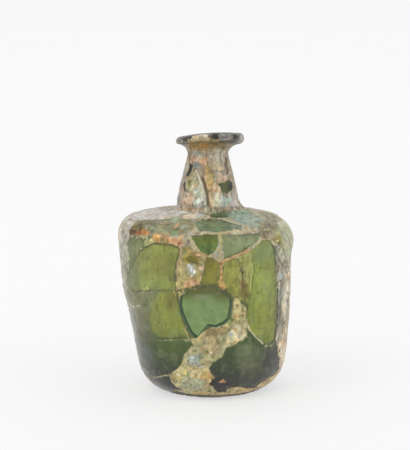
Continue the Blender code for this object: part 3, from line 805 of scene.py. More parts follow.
RIM_PATCHES = (
    crust("rim left grey", (140, 137, 126), ((174, 136), (183, 136.4), (183, 142), (180, 145), (174, 144)),
        ragged=0.4, soft=0.9, mottle=0.7),
    crust("rim beige", (214, 200, 172), ((188.6, 138), (196, 135.4), (207, 134), (208.4, 138.4),
        (219.6, 139.4), (219.6, 141.6), (200, 142.6), (188, 143)), ragged=0.4, soft=1.2, raised=0.1,
        mottle=0.26, low=(158, 134, 90)),
    glass("rim left black spot", (44, 38, 26), ((182, 138.6), (185, 136.8), (191.6, 136.4), (191.6, 138.6),
        (187, 140.6), (183, 141)), ragged=0.3, soft=0.7, haze=0.0),
    crust("rim left bead", (158, 148, 118), ((186.6, 138.4), (189.4, 138.2), (189.2, 140.2), (186.8, 140.2)),
        ragged=0.3, soft=0.6),
    glass("rim black spot", (52, 42, 26), ((212, 136.4), (214, 134.8), (217.8, 134.6), (218.6, 138.6),
        (214.6, 139), (212.4, 138)), ragged=0.3, soft=0.7, haze=0.0),
    crust("rim black spot, brown", (96, 76, 46), ((208, 135.4), (211.6, 135), (211.8, 137.6), (208.6, 138)),
        ragged=0.3, soft=0.8),
    crust("rim grey window", (138, 135, 128), ((219.4, 134.6), (232.6, 134), (233.4, 140.2), (220.4, 140.4)),
        ragged=0.3, soft=1.0, mottle=0.3),
    crust("rim dark by the end", (78, 72, 66), ((232, 134.6), (237.6, 134.6), (239, 138), (236.6, 140.6),
        (233.6, 140), (231.8, 137.6)), ragged=0.5, soft=1.2, mottle=0.8),
    crust("rim right end", (162, 158, 148), ((239, 133.6), (246, 134), (246, 142), (238, 142.6),
        (239.4, 138)), ragged=0.4, soft=1.4, mottle=0.3),
)

RIM_SEAMS = (
    filled("rim top line, left", ((178, 137), (186, 136.2), (193, 135.8), (200, 134.6), (207, 133.8)),
        (96, 92, 84), 0.6, 0.0, 0.3),
    filled("rim top line, right", ((205, 133.8), (213.4, 133), (225, 132), (237, 131.9), (241, 133.4)),
        (44, 40, 34), 1.0, 0.0, 0.05),
    # Painted highlight: a whitish streak on the rim's grey window.
    Seam("rim white streak", ((221, 136), (226, 136.6), (231.6, 136)), (206, 204, 196), 0.6, 0.0, 0.2),
    filled("rim foot line", ((220, 141.6), (227, 141.8), (235, 141.4)), (56, 46, 32), 0.6, -0.1, 0.1),
    filled("rim foot line, left", ((184, 143), (194, 143.2), (206, 142.8)), (122, 98, 66), 0.5, -0.1, 0.25),
)

FLECKS = (
    Fleck("haze round the pearls", (191.4, 269.6), (4.4, 4.8), (166, 164, 146)),
    # The pearls are painted highlights: bright pearly glints on the iridescent crust.
    Fleck("first pearl", (189.6, 265.8), (2.2, 2.0), (202, 208, 212)),
    Fleck("second pearl", (191.6, 269.4), (1.6, 2.8), (222, 226, 222)),
    Fleck("third pearl", (194.4, 272.4), (1.5, 2.4), (240, 238, 226)),
    Fleck("fourth pearl", (192.4, 275.4), (1.2, 1.6), (214, 208, 192)),
    Fleck("pink by the pearls", (200.6, 268.6), (1.8, 2.6), (222, 188, 160)),
    # Painted highlight: a cream glint on the amber crust.
    Fleck("amber cream", (158.4, 235.8), (1.6, 1.2), (226, 196, 136)),
    Fleck("amber yellow spot", (180.7, 237.6), (1.8, 1.4), (216, 182, 116)),
    Fleck("orange dab on the slope", (177.4, 224.8), (1.6, 2.4), (202, 152, 104)),
    Fleck("mauve spot on the shoulder", (130.4, 219.6), (4.6, 1.6), (146, 122, 106)),
    Fleck("pale highlight by the olive", (198.4, 254.8), (2.4, 1.0), (224, 192, 152)),
    Fleck("dark dot in the low crust", (196.3, 362.6), (1.2, 1.1), (48, 52, 62)),
    Fleck("blue in the low crust", (193, 357), (2.6, 2.0), (192, 206, 212)),
    # White dots: pale flakes in the low crust, partly painted glints.
    Fleck("white dot, first", (210.6, 352), (1.2, 1.2), (226, 224, 200)),
    Fleck("white dot, second", (177.8, 373.8), (1.3, 1.1), (232, 228, 204)),
    Fleck("white dot, third", (185.4, 377.8), (1.2, 1.0), (228, 220, 190)),
    Fleck("white dot, fourth", (202, 366), (1.2, 1.2), (222, 216, 192)),
    Fleck("blue in the cream head", (230.4, 333.6), (2.2, 2.0), (180, 186, 190)),
    Fleck("orange in the cream head", (234.7, 328), (2.6, 1.4), (200, 150, 104)),
    Fleck("bright end of the foot bead", (186.4, 340.4), (2.8, 1.6), (220, 208, 184)),
    Fleck("orange fleck, left, first", (140.4, 330), (1.2, 1.6), (192, 140, 106)),
    Fleck("orange fleck, left, second", (142, 333.8), (1.4, 1.0), (198, 132, 98)),
    Fleck("white scuff, left, first", (148.4, 352), (1.6, 3.2), (128, 132, 122)),
    Fleck("white scuff, left, second", (151.6, 357.6), (1.0, 2.2), (124, 128, 118)),
    Fleck("yellow streak in the olive fleck", (277.6, 240.6), (2.0, 1.2), (200, 190, 122)),
    Fleck("rust edge, right", (278.6, 350.6), (1.0, 1.8), (122, 72, 58)),
    Fleck("dark in the right flakes", (287.6, 300.4), (1.0, 2.8), (116, 114, 104)),
    Fleck("blue grey in the strip", (280.6, 276.4), (2.0, 3.4), (166, 174, 176)),
    Fleck("dark hollow in the strip", (279.8, 281.4), (0.9, 1.2), (64, 62, 54)),
    Fleck("cream by the brown dab", (246.4, 277), (2.6, 1.2), (206, 184, 140)),
    Fleck("dark mark in the streaks", (242.4, 272.4), (1.2, 1.6), (54, 42, 36)),
    Fleck("pale head of the window", (176, 219), (2.0, 1.2), (178, 196, 142)),
    Fleck("dark end of the rust", (131.4, 230), (1.0, 1.2), (58, 46, 26)),
)

NECK_FLECKS = (
    Fleck("white under the rim", (199.4, 157), (2.2, 1.2), (204, 198, 178)),
    Fleck("orange at the neck", (206.4, 158.4), (1.4, 1.6), (192, 132, 84)),
    Fleck("pink spot in the crease", (205.6, 176.6), (1.2, 1.8), (222, 186, 154)),
    Fleck("dark marks in the silver, first", (200, 205), (0.9, 1.2), (96, 100, 94)),
    Fleck("dark marks in the silver, second", (203, 205.4), (0.9, 1.0), (102, 104, 98)),
    Fleck("dark marks in the silver, third", (202.4, 201.4), (0.7, 1.0), (120, 122, 112)),
    Fleck("bright silver", (198.4, 201), (2.0, 3.2), (226, 232, 218)),
    Fleck("brown spot right, first", (226, 161), (0.9, 1.8), (104, 80, 64)),
    Fleck("brown spot right, second", (227.4, 172.4), (1.2, 1.8), (108, 78, 58)),
    Fleck("olive spot right", (229, 177.6), (1.4, 1.6), (138, 120, 74)),
    Fleck("rust spot left", (191.4, 159.8), (1.4, 1.0), (168, 116, 84)),
    Fleck("squiggle, first", (223.4, 195), (1.2, 1.4), (112, 108, 94)),
    Fleck("squiggle, second", (226.4, 196.6), (1.6, 0.9), (104, 100, 90)),
)

GAP_OUTLINE = (
    (180.5, 296), (189, 291.5), (200, 288.5), (208, 286), (215, 287.5), (224, 293), (232.5, 299.5),
    (232, 308), (229.5, 319), (224, 324), (216, 327), (208.5, 326), (203, 331), (196, 338.5),
    (190.8, 333.6), (185, 323), (181, 314), (179, 306),
)


@dataclass
class Surface:
    """Points of a surface, and the tint, crust and lift that the painter lays on them."""

    bearing: np.ndarray
    run: np.ndarray
    radius: np.ndarray
    place: np.ndarray
    tint: np.ndarray = field(init=False)
    crust: np.ndarray = field(init=False)
    lift: np.ndarray = field(init=False)

    def __post_init__(self) -> None:
        self.tint = np.zeros((len(self.run), 3))
        self.crust, self.lift = np.zeros(len(self.run)), np.zeros(len(self.run))


@dataclass
class Skin:
    """The outer profile read by its run, the distance along it from the foot ring."""

    form: BottleForm
    picture: Picture
    run: np.ndarray = field(init=False)
    radius: np.ndarray = field(init=False)
    height: np.ndarray = field(init=False)

    def __post_init__(self) -> None:
        line, self.run = measured(self.form.outside())
        self.radius, self.height = line.T

    def run_at(self, height: float) -> float:
        """Find how far along the profile a height lies, in millimetres."""
        return float(np.interp(height, self.height, self.run))

    def cast(self, pixels: tuple[Point, ...]) -> np.ndarray:
        """Find where lines of sight first meet the outer skin.

        Args:
            pixels: picture points that lie on the bottle.

        Returns:
            Rows of bearing in degrees, run and height in millimetres.
        """
        eye, ways = self.picture.rays(np.array(pixels, float))
        far = np.linspace(790.0, 915.0, 2600)
        rows = []
        limit = self.form.rim_low() + self.form.rim_thickness
        for way in ways:
            places = eye + far[:, None] * way
            height = places[:, 2].copy()
            for _ in range(4):
                across = places[:, 0] - through(self.form.wander, height)
                trial = self.form.settle(np.hypot(across, places[:, 1]), height,
                                         np.degrees(np.arctan2(across, -places[:, 1])))
                height = height + places[:, 2] - trial[:, 2]
            across = places[:, 0] - through(self.form.wander, height)
            reach = np.interp(height, self.height, self.radius, left=0.0, right=0.0)
            reach = np.where(height > limit, 0.0, reach)
            gap = np.hypot(across, places[:, 1]) - reach
            inside = np.flatnonzero(gap < 0.0)
            k = int(inside[0]) if len(inside) else int(np.argmin(gap))
            bearing = math.degrees(math.atan2(across[k], -places[k, 1]))
            rows.append((bearing, self.run_at(height[k]), height[k]))
        return np.array(rows)

    def distance(self, surface: Surface, pick: np.ndarray, line: np.ndarray, closed: bool) -> np.ndarray:
        """Distance from surface points to a line drawn on the skin.

        Args:
            surface: the painted surface.
            pick: which of its points to measure.
            line: rows of bearing and run.
            closed: true for an outline, whose inside counts as negative.

        Returns:
            Distances in millimetres.
        """
        scale = np.radians(1.0) * surface.radius[pick]
        x, y = surface.bearing[pick], surface.run[pick]
        best = np.full(len(x), 1e9)
        inside = np.zeros(len(x), bool)
        ends = np.roll(line, -1, axis=0) if closed else line[1:]
        for (ax, ay), (bx, by) in zip(line, ends):
            ux, uy = (bx - ax) * scale, by - ay
            px, py = (x - ax) * scale, y - ay
            t = np.clip((px * ux + py * uy) / np.maximum(ux * ux + uy * uy, 1e-9), 0.0, 1.0)
            best = np.minimum(best, np.hypot(px - t * ux, py - t * uy))
            if closed:
                crosses = (ay > y) != (by > y)
                at = ax + (y - ay) * (bx - ax) / np.where(by == ay, 1e-9, by - ay)
                inside ^= crosses & (x < at)
        return np.where(inside, -best, best) if closed else best


@dataclass
class Painter:
    """Lays patches, joints and crust relief on the skin."""

    skin: Skin
    margin: float = 3.0
    dark_foot: float = 10.4
    # Painted shade: dark_foot and the colour below darken the lowest rows by the foot ring, where little
    # light reaches under the base.
    neck_crust: float = 83.2
    foot_shade: Colour = (34, 27, 20)
    fill: Colour = (170, 152, 108)
    bloom: Colour = (206, 198, 164)
    # Pearly speck colour: pale flakes in the crust, and partly painted glints.
    pearl: Colour = (228, 226, 214)
    crust_main: Colour = (170, 160, 132)
    back_glass: Colour = (115, 138, 77)
    # Painted shade: colour for the top of the back wall seen through the gap.
    back_shade: Colour = (64, 56, 18)
    neck_colour: Colour = (158, 143, 119)
    rim_colour: Colour = (116, 112, 102)
    rim_dark: Colour = (58, 54, 44)

    def near(self, surface: Surface, line: np.ndarray, margin: float) -> np.ndarray:
        """Pick the surface points close to a line, to save work.

        Args:
            surface: the painted surface.
            line: rows of bearing and run.
            margin: how far around to look, in millimetres.

        Returns:
            Indices of the points.
        """
        wide = np.degrees(margin / np.maximum(surface.radius, 4.0))
        low, high = line.min(axis=0), line.max(axis=0)
        fits = (surface.bearing > low[0] - wide) & (surface.bearing < high[0] + wide)
        return np.flatnonzero(fits & (surface.run > low[1] - margin) & (surface.run < high[1] + margin))

    def warp(self, surface: Surface, pick: np.ndarray, amount: float, seed: int) -> Surface:
        """Shift points a little at random, so that an outline drawn there turns ragged.

        Args:
            surface: the painted surface.
            pick: which points.
            amount: how ragged, in millimetres.
            seed: picks the pattern.

        Returns:
            A bare surface of the shifted points.
        """
        place = surface.place[pick]
        along = (grain(place, 2.4, seed, 2) - 0.5) * 2.4 * amount
        up = (grain(place, 2.4, seed + 50, 2) - 0.5) * 2.4 * amount
        bearing = surface.bearing[pick] + np.degrees(along / np.maximum(surface.radius[pick], 4.0))
        return Surface(bearing, surface.run[pick] + up, surface.radius[pick], place)

    def patch(self, surface: Surface, patch: Patch, seed: int) -> None:
        """Lay one patch.

        Args:
            surface: the painted surface.
            patch: what to lay.
            seed: picks its pattern.
        """
        line = self.skin.cast(patch.outline)[:, :2]
        pick = self.near(surface, line, self.margin + patch.soft)
        if not len(pick):
            return
        moved = self.warp(surface, pick, patch.ragged, seed)
        depth = -self.skin.distance(moved, np.arange(len(pick)), line, True)
        inside = ease(depth / patch.soft + 0.5) if patch.soft else (depth > 0.0).astype(float)
        low, high = line[:, 1].min(), line[:, 1].max()
        tint = linear(patch.colour)
        if patch.low is not None:
            share = ease((high - surface.run[pick]) / (high - low) * 1.2 - 0.1)
            tint = mixed(tint, linear(patch.low), share)
        place = surface.place[pick]
        mottle = 1.0 + (grain(place, 4.2, seed + 7, 3) - 0.5) * 2.2 * patch.mottle
        tint = tint * mottle[:, None]
        if patch.finish is Finish.CRUST:
            tint = self.crust_colour(tint, place, seed, patch.speck)
        else:
            tint = self.glass_colour(tint, place, seed, patch.haze)
        upright = grain(place * np.array([1.0, 1.0, 0.13]), 0.95, seed + 15, 1) - 0.5
        tint = tint * np.clip(1.0 + patch.streaks * upright, 0.3, 1.7)[:, None]
        hard = inside + min(patch.soft, 2.4) * 0.45 * (grain(place, 1.3, seed + 31, 2) - 0.5) > 0.5
        surface.tint[pick] = mixed(surface.tint[pick], tint, inside)
        surface.crust[pick[hard]] = 1.0 if patch.finish is Finish.CRUST else 0.0
        edge = ease(depth / 0.5) * (0.55 + 0.9 * grain(place, 3.2, seed + 13, 3))
        surface.lift[pick[hard]] = (patch.raised * edge)[hard]

    def glass_colour(self, tint: np.ndarray, place: np.ndarray, seed: int, haze: float) -> np.ndarray:
        """Weather a glass colour: clouding, faint upright streaks, a pale bloom and small pits.

        Args:
            tint: the colours so far.
            place: where they are, in millimetres.
            seed: picks the pattern.
            haze: how much pale bloom, 0 to 1.

        Returns:
            The new colours.
        """
        fine = 1.0 + 0.26 * (grain(place, 1.5, seed + 9, 1) - 0.5)
        tint = tint * fine[:, None]
        bloom = ease((grain(place, 3.2, seed + 19, 2) - (0.66 - 0.3 * haze)) * 4.5) * (0.18 + 0.4 * haze)
        tint = mixed(tint, linear(self.bloom), bloom)
        pits = 0.4 * ease((0.2 - grain(place, 1.2, seed + 23, 1)) * 9.0) * (np.max(tint, axis=1) > 0.2)
        return tint * (1.0 - pits[:, None])

    def crust_colour(self, tint: np.ndarray, place: np.ndarray, seed: int, speck: float) -> np.ndarray:
        """Break a crust colour up into gold, pink, blue-grey and pale flakes; its pale pearly specks are
        partly flakes and partly painted glints.

        Args:
            tint: the colours so far.
            place: where they are, in millimetres.
            seed: picks the pattern.
            speck: how many pearly specks, 0 to 1.

        Returns:
            The new colours.
        """
        warm = grain(place, 3.4, seed + 21, 3)[:, None]
        cool = grain(place, 2.6, seed + 33, 3)[:, None]
        fine = grain(place, 1.2, seed + 41, 1)[:, None]
        tint = tint * (0.66 + 0.68 * fine)
        tint = tint * (1.0 + ease((warm - 0.52) * 3.5) * np.array([0.14, -0.03, -0.22]))
        tint = tint * (1.0 + ease((cool - 0.56) * 3.5) * np.array([-0.13, -0.01, 0.10]))
        green = ease((grain(place, 3.0, seed + 37, 3)[:, None] - 0.62) * 4.0)
        tint = tint * (1.0 + green * np.array([-0.28, -0.12, -0.32]))
        dark = ease((0.3 - grain(place, 1.6, seed + 47, 2)[:, None]) * 7.0)
        tint = tint * (1.0 - 0.5 * dark)
        # Pearly specks: pale flakes, partly painted glints on the crust.
        bright = ease((grain(place, 1.3, seed + 53, 1)[:, None] - (0.95 - 0.28 * speck)) * 6.0)
        return tint * (1.0 - bright * 0.7) + linear(self.pearl) * bright * 0.7

    def seam(self, surface: Surface, seam: Seam, seed: int) -> None:
        """Lay one joint.

        Args:
            surface: the painted surface.
            seam: the crack or bead.
            seed: picks its pattern.
        """
        line = self.skin.cast(seam.line)[:, :2]
        pick = self.near(surface, line, seam.width + 1.5)
        if not len(pick):
            return
        moved = self.warp(surface, pick, 0.28, seed)
        away = self.skin.distance(moved, np.arange(len(pick)), line, False)
        place = surface.place[pick]
        half = 0.5 * seam.width * (0.55 + 0.9 * grain(place, 3.0, seed + 3, 2))
        share = ease((half - away) / 0.45 + 0.5) * (0.65 + 0.35 * grain(place, 2.0, seed + 5, 2))
        if seam.broken:
            share = share * (grain(place, 4.5, seed + 9, 2) > seam.broken * 0.9)
        tint = linear(seam.colour) * (0.7 + 0.6 * grain(place, 1.3, seed + 11, 3))[:, None]
        surface.tint[pick] = mixed(surface.tint[pick], tint, share)
        on = share > 0.5
        surface.crust[pick[on]] = 1.0 if seam.finish is Finish.CRUST else 0.0
        round_top = np.sqrt(np.clip(1.0 - (away / np.maximum(half, 0.1)) ** 2, 0.0, 1.0))
        surface.lift[pick] += seam.raised * round_top * share

    def fleck(self, surface: Surface, fleck: Fleck, seed: int) -> None:
        """Lay one soft spot.

        Args:
            surface: the painted surface.
            fleck: the spot.
            seed: picks its pattern.
        """
        (x, y), (wide, high) = fleck.centre, fleck.reach
        middle, side, top = self.skin.cast(((x, y), (x + wide, y), (x, y - high)))[:, :2]
        pick = self.near(surface, np.array([middle]), 4.0)
        if not len(pick):
            return
        moved = self.warp(surface, pick, 0.35, seed)
        across = (moved.bearing - middle[0]) / max(abs(side[0] - middle[0]), 0.3)
        up = (moved.run - middle[1]) / max(abs(top[1] - middle[1]), 0.3)
        share = ease((1.25 - np.hypot(across, up)) / 0.7)
        tint = linear(fleck.colour) * (0.8 + 0.4 * grain(surface.place[pick], 1.3, seed + 3, 1))[:, None]
        surface.tint[pick] = mixed(surface.tint[pick], tint, share)

    def ground(self, surface: Surface) -> None:
        """Lay the general state: green glass shards, weathered joints and crust all round, with painted shade
        low down and at the top of the back wall seen through the gap.

        Args:
            surface: the painted surface.
        """
        place, run = surface.place, surface.run
        spread = 40.0
        columns, rows = 9, (14.0, 44.0, 74.0, 98.0)
        chance = np.random.default_rng(7)
        seeds, looks = [], []
        palette = (
            (138, 146, 88), (122, 132, 80), (96, 110, 66), (130, 134, 104), (112, 124, 72), (78, 88, 56),
        )
        for row, middle in enumerate(rows):
            for column in range(columns):
                bearing = (column + 0.5 * (row % 2) + chance.uniform(-0.32, 0.32)) * 360.0 / columns
                seeds.append((signed(bearing), middle + chance.uniform(-9.0, 9.0)))
                looks.append(palette[int(chance.integers(0, 5)) if row else 5])
        moved = self.warp(surface, np.arange(len(run)), 0.5, 90)
        first, second = np.full(len(run), 1e9), np.full(len(run), 1e9)
        owner = np.zeros(len(run), int)
        for index, (bearing, middle) in enumerate(seeds):
            away = np.hypot(np.radians(signed(moved.bearing - bearing)) * spread, moved.run - middle)
            closer = away < first
            second = np.where(closer, first, np.minimum(second, away))
            owner = np.where(closer, index, owner)
            first = np.where(closer, away, first)
        surface.tint[:] = np.array([linear(look) for look in looks])[owner]
        surface.tint *= (1.0 + (grain(place, 6.0, 5, 4) - 0.5) * 0.45)[:, None]
        joint = ease((0.62 - (second - first) * 0.5) / 0.3)
        bead = linear(self.fill) * (0.7 + 0.6 * grain(place, 1.5, 71, 3))[:, None]
        surface.tint[:] = mixed(surface.tint, bead, joint)
        surface.lift[:] = 0.22 * joint
        surface.crust[:] = joint > 0.5
        # Painted shade: the glass darkens towards the bottom, where less light comes through it.
        low_shade = ease((22.0 + 9.0 * (grain(place, 14.0, 8, 3) - 0.5) - run) / 5.0)[:, None]
        surface.tint *= 1.0 - 0.25 * low_shade
        cover = grain(place, 16.0, 14, 4) + 0.45 * ease((run - 72.0) / 8.0) + 0.12 * ease((12.0 - run) / 6.0)
        behind = np.abs(surface.bearing) > 128.0 + 16.0 * (grain(place, 9.0, 15, 2) - 0.5)
        behind &= (run > 13.0) & (run < 54.0 + 8.0 * (grain(place, 9.0, 16, 2) - 0.5))
        self.cover(surface, (cover > 0.66) & ~behind, self.crust_main, 0.3, 61)
        # Painted shade: the back wall seen through the gap darkens towards its top, as shade inside the
        # bottle.
        share = ease((run[behind] - 38.5 + 5.0 * (grain(place[behind], 7.0, 17, 3) - 0.5)) / 7.0)
        share = share * ease((np.abs(surface.bearing[behind]) - 146.0) / 12.0)
        shade = mixed(linear(self.back_glass), linear(self.back_shade), share)
        surface.tint[behind] = self.glass_colour(shade, place[behind], 87, 0.0)
        surface.crust[behind] = 0.0
        surface.lift[behind] = 0.0

    def cover(self, surface: Surface, mask: np.ndarray, colour: Colour, raised: float, seed: int) -> None:
        """Lay crust wherever a mask says.

        Args:
            surface: the painted surface.
            mask: true where crust lies.
            colour: its main colour.
            raised: its thickness in millimetres.
            seed: picks its pattern.
        """
        pick = np.flatnonzero(mask)
        place = surface.place[pick]
        tint = linear(colour) * (0.85 + 0.3 * grain(place, 5.0, seed, 3))[:, None]
        surface.tint[pick] = self.crust_colour(tint, place, seed, 0.1)
        surface.crust[pick] = 1.0
        surface.lift[pick] = raised * (0.4 + 0.8 * grain(place, 3.0, seed + 5, 3))

    def neck_ground(self, surface: Surface) -> None:
        """Lay the silvery crust that covers the neck, and the dark weathered rim.

        Args:
            surface: the painted surface.
        """
        start = self.skin.run_at(self.neck_crust) + 1.2 * (grain(surface.place, 4.0, 19, 2) - 0.5)
        rim = self.skin.run_at(self.skin.form.rim_low() - 0.25)
        neck = np.flatnonzero((surface.run > start) & (surface.run < rim))
        place = surface.place[neck] * np.array([1.0, 1.0, 0.42])
        tint = linear(self.neck_colour) * (0.72 + 0.56 * grain(place, 2.2, 101, 2))[:, None]
        surface.tint[neck] = self.crust_colour(tint, place * 1.2, 103, 0.22)
        surface.crust[neck] = 1.0
        surface.lift[neck] = 0.45 * (grain(place, 2.6, 107, 3) - 0.35)
        top = np.flatnonzero(surface.run >= rim)
        place = surface.place[top]
        tint = linear(self.rim_colour) * (0.7 + 0.6 * grain(place, 2.4, 111, 3))[:, None]
        dark = ease((grain(place, 4.5, 113, 3) - 0.62) * 7.0)
        surface.tint[top] = mixed(tint, linear(self.rim_dark), dark)
        surface.crust[top] = 1.0
        surface.lift[top] = 0.1 * (grain(place, 2.5, 117, 2) - 0.5)

    def paint(self, surface: Surface) -> None:
        """Lay everything, in order.

        Args:
            surface: the surface to fill in.
        """
        self.ground(surface)
        for index, patch in enumerate(PATCHES):
            self.patch(surface, patch, 200 + 3 * index)
        for index, seam in enumerate(SEAMS):
            self.seam(surface, seam, 400 + 3 * index)
        for index, fleck in enumerate(FLECKS):
            self.fleck(surface, fleck, 500 + 3 * index)
        self.neck_ground(surface)
        for index, patch in enumerate(NECK_PATCHES + RIM_PATCHES):
            self.patch(surface, patch, 600 + 3 * index)
        for index, seam in enumerate(NECK_SEAMS + RIM_SEAMS):
            self.seam(surface, seam, 740 + 3 * index)
        for index, fleck in enumerate(NECK_FLECKS):
            self.fleck(surface, fleck, 800 + 3 * index)
        # Painted shade: the skin darkens by the foot ring, standing in for the shade under the base where it
        # meets the floor.
        foot = ease((self.dark_foot - surface.run) / 2.8) * (0.72 + 0.28 * grain(surface.place, 5.0, 91, 2))
        surface.tint[:] = mixed(surface.tint, linear(self.foot_shade), foot)


@dataclass
class Rows:
    """The rings of points that make up one stretch of the shell."""

    radius: np.ndarray
    height: np.ndarray
    run: np.ndarray
    level: int

    def normals(self) -> tuple[np.ndarray, np.ndarray]:
        """Radial and upward parts of the profile's outward directions."""
        out, up = np.gradient(self.radius), np.gradient(self.height)
        length = np.maximum(np.hypot(out, up), 1e-9)
        return up / length, -out / length


@dataclass
class Shell:
    """Every point of the shell, ring after ring, and the faces between them."""

    bearing: np.ndarray
    radius: np.ndarray
    height: np.ndarray
    run: np.ndarray
    side: np.ndarray
    out: np.ndarray
    up: np.ndarray
    faces: list[tuple[int, ...]]
    corners: np.ndarray = field(init=False)
    flat: np.ndarray = field(init=False)
    first: np.ndarray = field(init=False)

    def __post_init__(self) -> None:
        self.corners = np.array([len(face) for face in self.faces])
        self.flat = np.fromiter((index for face in self.faces for index in face), int, self.corners.sum())
        self.first = np.r_[0, np.cumsum(self.corners)[:-1]]

    def mean(self, values: np.ndarray) -> np.ndarray:
        """Average a value over the corners of each face."""
        return np.add.reduceat(values[self.flat], self.first) / self.corners

    def most(self, values: np.ndarray) -> np.ndarray:
        """Find the largest value at the corners of each face."""
        return np.maximum.reduceat(values[self.flat], self.first)

    def touched(self, chosen: np.ndarray) -> np.ndarray:
        """Find the points that belong to chosen faces.

        Args:
            chosen: true for each face to look at.

        Returns:
            True for each point with such a face.
        """
        found = np.zeros(len(self.side), bool)
        found[self.flat[np.repeat(chosen, self.corners)]] = True
        return found


@dataclass
class Vessel:
    """The bottle's glass shell, its relief and the gap of the missing fragment."""

    form: BottleForm
    picture: Picture
    front_step: float = 0.6
    side_step: float = 1.15
    back_step: float = 2.4
    wall_step: float = 0.5
    neck_step: float = 0.48
    inner_step: float = 1.9
    inner_step_at_gap: float = 0.75
    base_run: float = -19.0
    floor_run: float = 150.0
    gap_radius: float = 38.0
    gap_side: float = 30.0
    gap_low: float = 20.0
    gap_high: float = 62.0
    gap_middle: float = 41.0
    gap_reach: float = 17.0
    break_slope: float = 0.55
    inner_colour: Colour = (200, 226, 186)
    break_colour: Colour = (74, 92, 84)
    skin: Skin = field(init=False)

    def __post_init__(self) -> None:
        self.skin = Skin(self.form, self.picture)

    def bearings(self) -> np.ndarray:
        """Columns round the body, close together at the front.

        Returns:
            Bearings in degrees, a multiple of four of them.
        """
        marks = [
            (-180.0, self.back_step), (-100.0, self.side_step), (-50.0, self.front_step),
            (50.0, self.side_step), (100.0, self.back_step), (180.0, 0.0),
        ]
        parts = []
        for (low, step), (high, _) in zip(marks, marks[1:]):
            count = int(round((high - low) / step / 4.0)) * 4
            parts.append(low + (high - low) * np.arange(count) / count)
        return np.concatenate(parts)

    def outer_rows(self) -> list[Rows]:
        """Rings of the underside and the outside.

        Returns:
            Stretches of rows, from the middle of the underside to the top of the rim.
        """
        under = self.form.underside()
        skin = self.skin
        corner_end = skin.run_at(self.form.wall[-1][0] + self.form.corner_height * 0.94)
        neck_start = skin.run_at(self.form.fillet_centre[1] - self.form.fillet + 0.1)
        rim_start = skin.run_at(self.form.neck_top[1] + 0.3)
        marks = (
            (0.0, 1.0, 1), (8.0, self.wall_step, 0), (corner_end, 0.6, 1),
            (neck_start, self.neck_step, 1), (rim_start, 0.36, 1), (skin.run[-1], 0.0, 1),
        )
        stretches = [Rows(under[1:, 0], under[1:, 1], under[1:, 0] - self.form.ring_outer, 1)]
        for (low, step, level), (high, _, _) in zip(marks, marks[1:]):
            count = max(2, int(round((high - low) / step)))
            run = low + (high - low) * np.arange(count) / count
            if high == skin.run[-1]:
                run = np.append(run, high)
            radius, height = np.interp(run, skin.run, skin.radius), np.interp(run, skin.run, skin.height)
            stretches.append(Rows(radius, height, run, level))
        return stretches

    def inner_rows(self) -> Rows:
        """Rings of the inside, from the mouth down to the floor.

        Returns:
            The rows.
        """
        line, run = measured(self.form.inside())
        radius, height = line.T
        dense = np.linspace(0.0, run[-1], 4000)
        near_gap = np.abs(np.interp(dense, run, height) - self.gap_middle) < self.gap_reach
        pace = np.cumsum(1.0 / np.where(near_gap, self.inner_step_at_gap, self.inner_step)) * dense[1]
        picks = np.interp(np.arange(0.0, pace[-1]), pace, dense)
        picks = picks[picks < run[-1] - 0.8]
        return Rows(np.interp(picks, run, radius), np.interp(picks, run, height), picks, 1)

    def gap_line(self, inset: float) -> np.ndarray:
        """The broken outline, roughened.

        Args:
            inset: how far inside the outer outline, in millimetres.

        Returns:
            Rows of bearing in degrees and height in millimetres.
        """
        corners = self.skin.cast(GAP_OUTLINE)[:, [0, 2]]
        scale = math.radians(1.0) * self.gap_radius
        points = []
        for start, end in zip(corners, np.roll(corners, -1, axis=0)):
            length = math.hypot((end[0] - start[0]) * scale, end[1] - start[1])
            count = max(2, int(length / 0.7))
            for k in range(count):
                points.append(start + (end - start) * k / count)
        points = np.array(points)
        flat = np.c_[points[:, 0] * scale, points[:, 1], np.zeros(len(points))]
        shake = np.c_[grain(flat, 1.8, 31, 2), grain(flat, 1.8, 37, 2)] - 0.5
        flat = flat[:, :2] + shake * 0.35
        middle = flat.mean(axis=0)
        out = flat - middle
        flat = middle + out * (1.0 - inset / np.maximum(np.linalg.norm(out, axis=1, keepdims=True), 1.0))
        return np.c_[flat[:, 0] / scale, flat[:, 1]]

    def inside_gap(self, bearing: np.ndarray, height: np.ndarray, line: np.ndarray) -> np.ndarray:
        """Test which points lie in the gap.

        Args:
            bearing: degrees.
            height: millimetres.
            line: the outline.

        Returns:
            True where a point is inside.
        """
        inside = np.zeros(len(bearing), bool)
        for (ax, ay), (bx, by) in zip(line, np.roll(line, -1, axis=0)):
            crosses = (ay > height) != (by > height)
            at = ax + (height - ay) * (bx - ax) / (by - ay if by != ay else 1e-9)
            inside ^= crosses & (bearing < at)
        return inside

    def snap(self, bearing: np.ndarray, height: np.ndarray, line: np.ndarray) -> np.ndarray:
        """Move points onto the nearest place of an outline.

        Args:
            bearing: degrees.
            height: millimetres.
            line: the outline.

        Returns:
            Rows of bearing and height.
        """
        scale = math.radians(1.0) * self.gap_radius
        best = np.full(len(bearing), 1e9)
        spot = np.zeros((len(bearing), 2))
        for (ax, ay), (bx, by) in zip(line, np.roll(line, -1, axis=0)):
            ux, uy = (bx - ax) * scale, by - ay
            t = ((bearing - ax) * scale * ux + (height - ay) * uy) / (ux * ux + uy * uy)
            t = np.clip(t, 0.0, 1.0)
            away = np.hypot((bearing - ax) * scale - t * ux, height - ay - t * uy)
            closer = away < best
            best = np.where(closer, away, best)
            spot[closer] = np.c_[ax + t * (bx - ax), ay + t * (by - ay)][closer]
        return spot

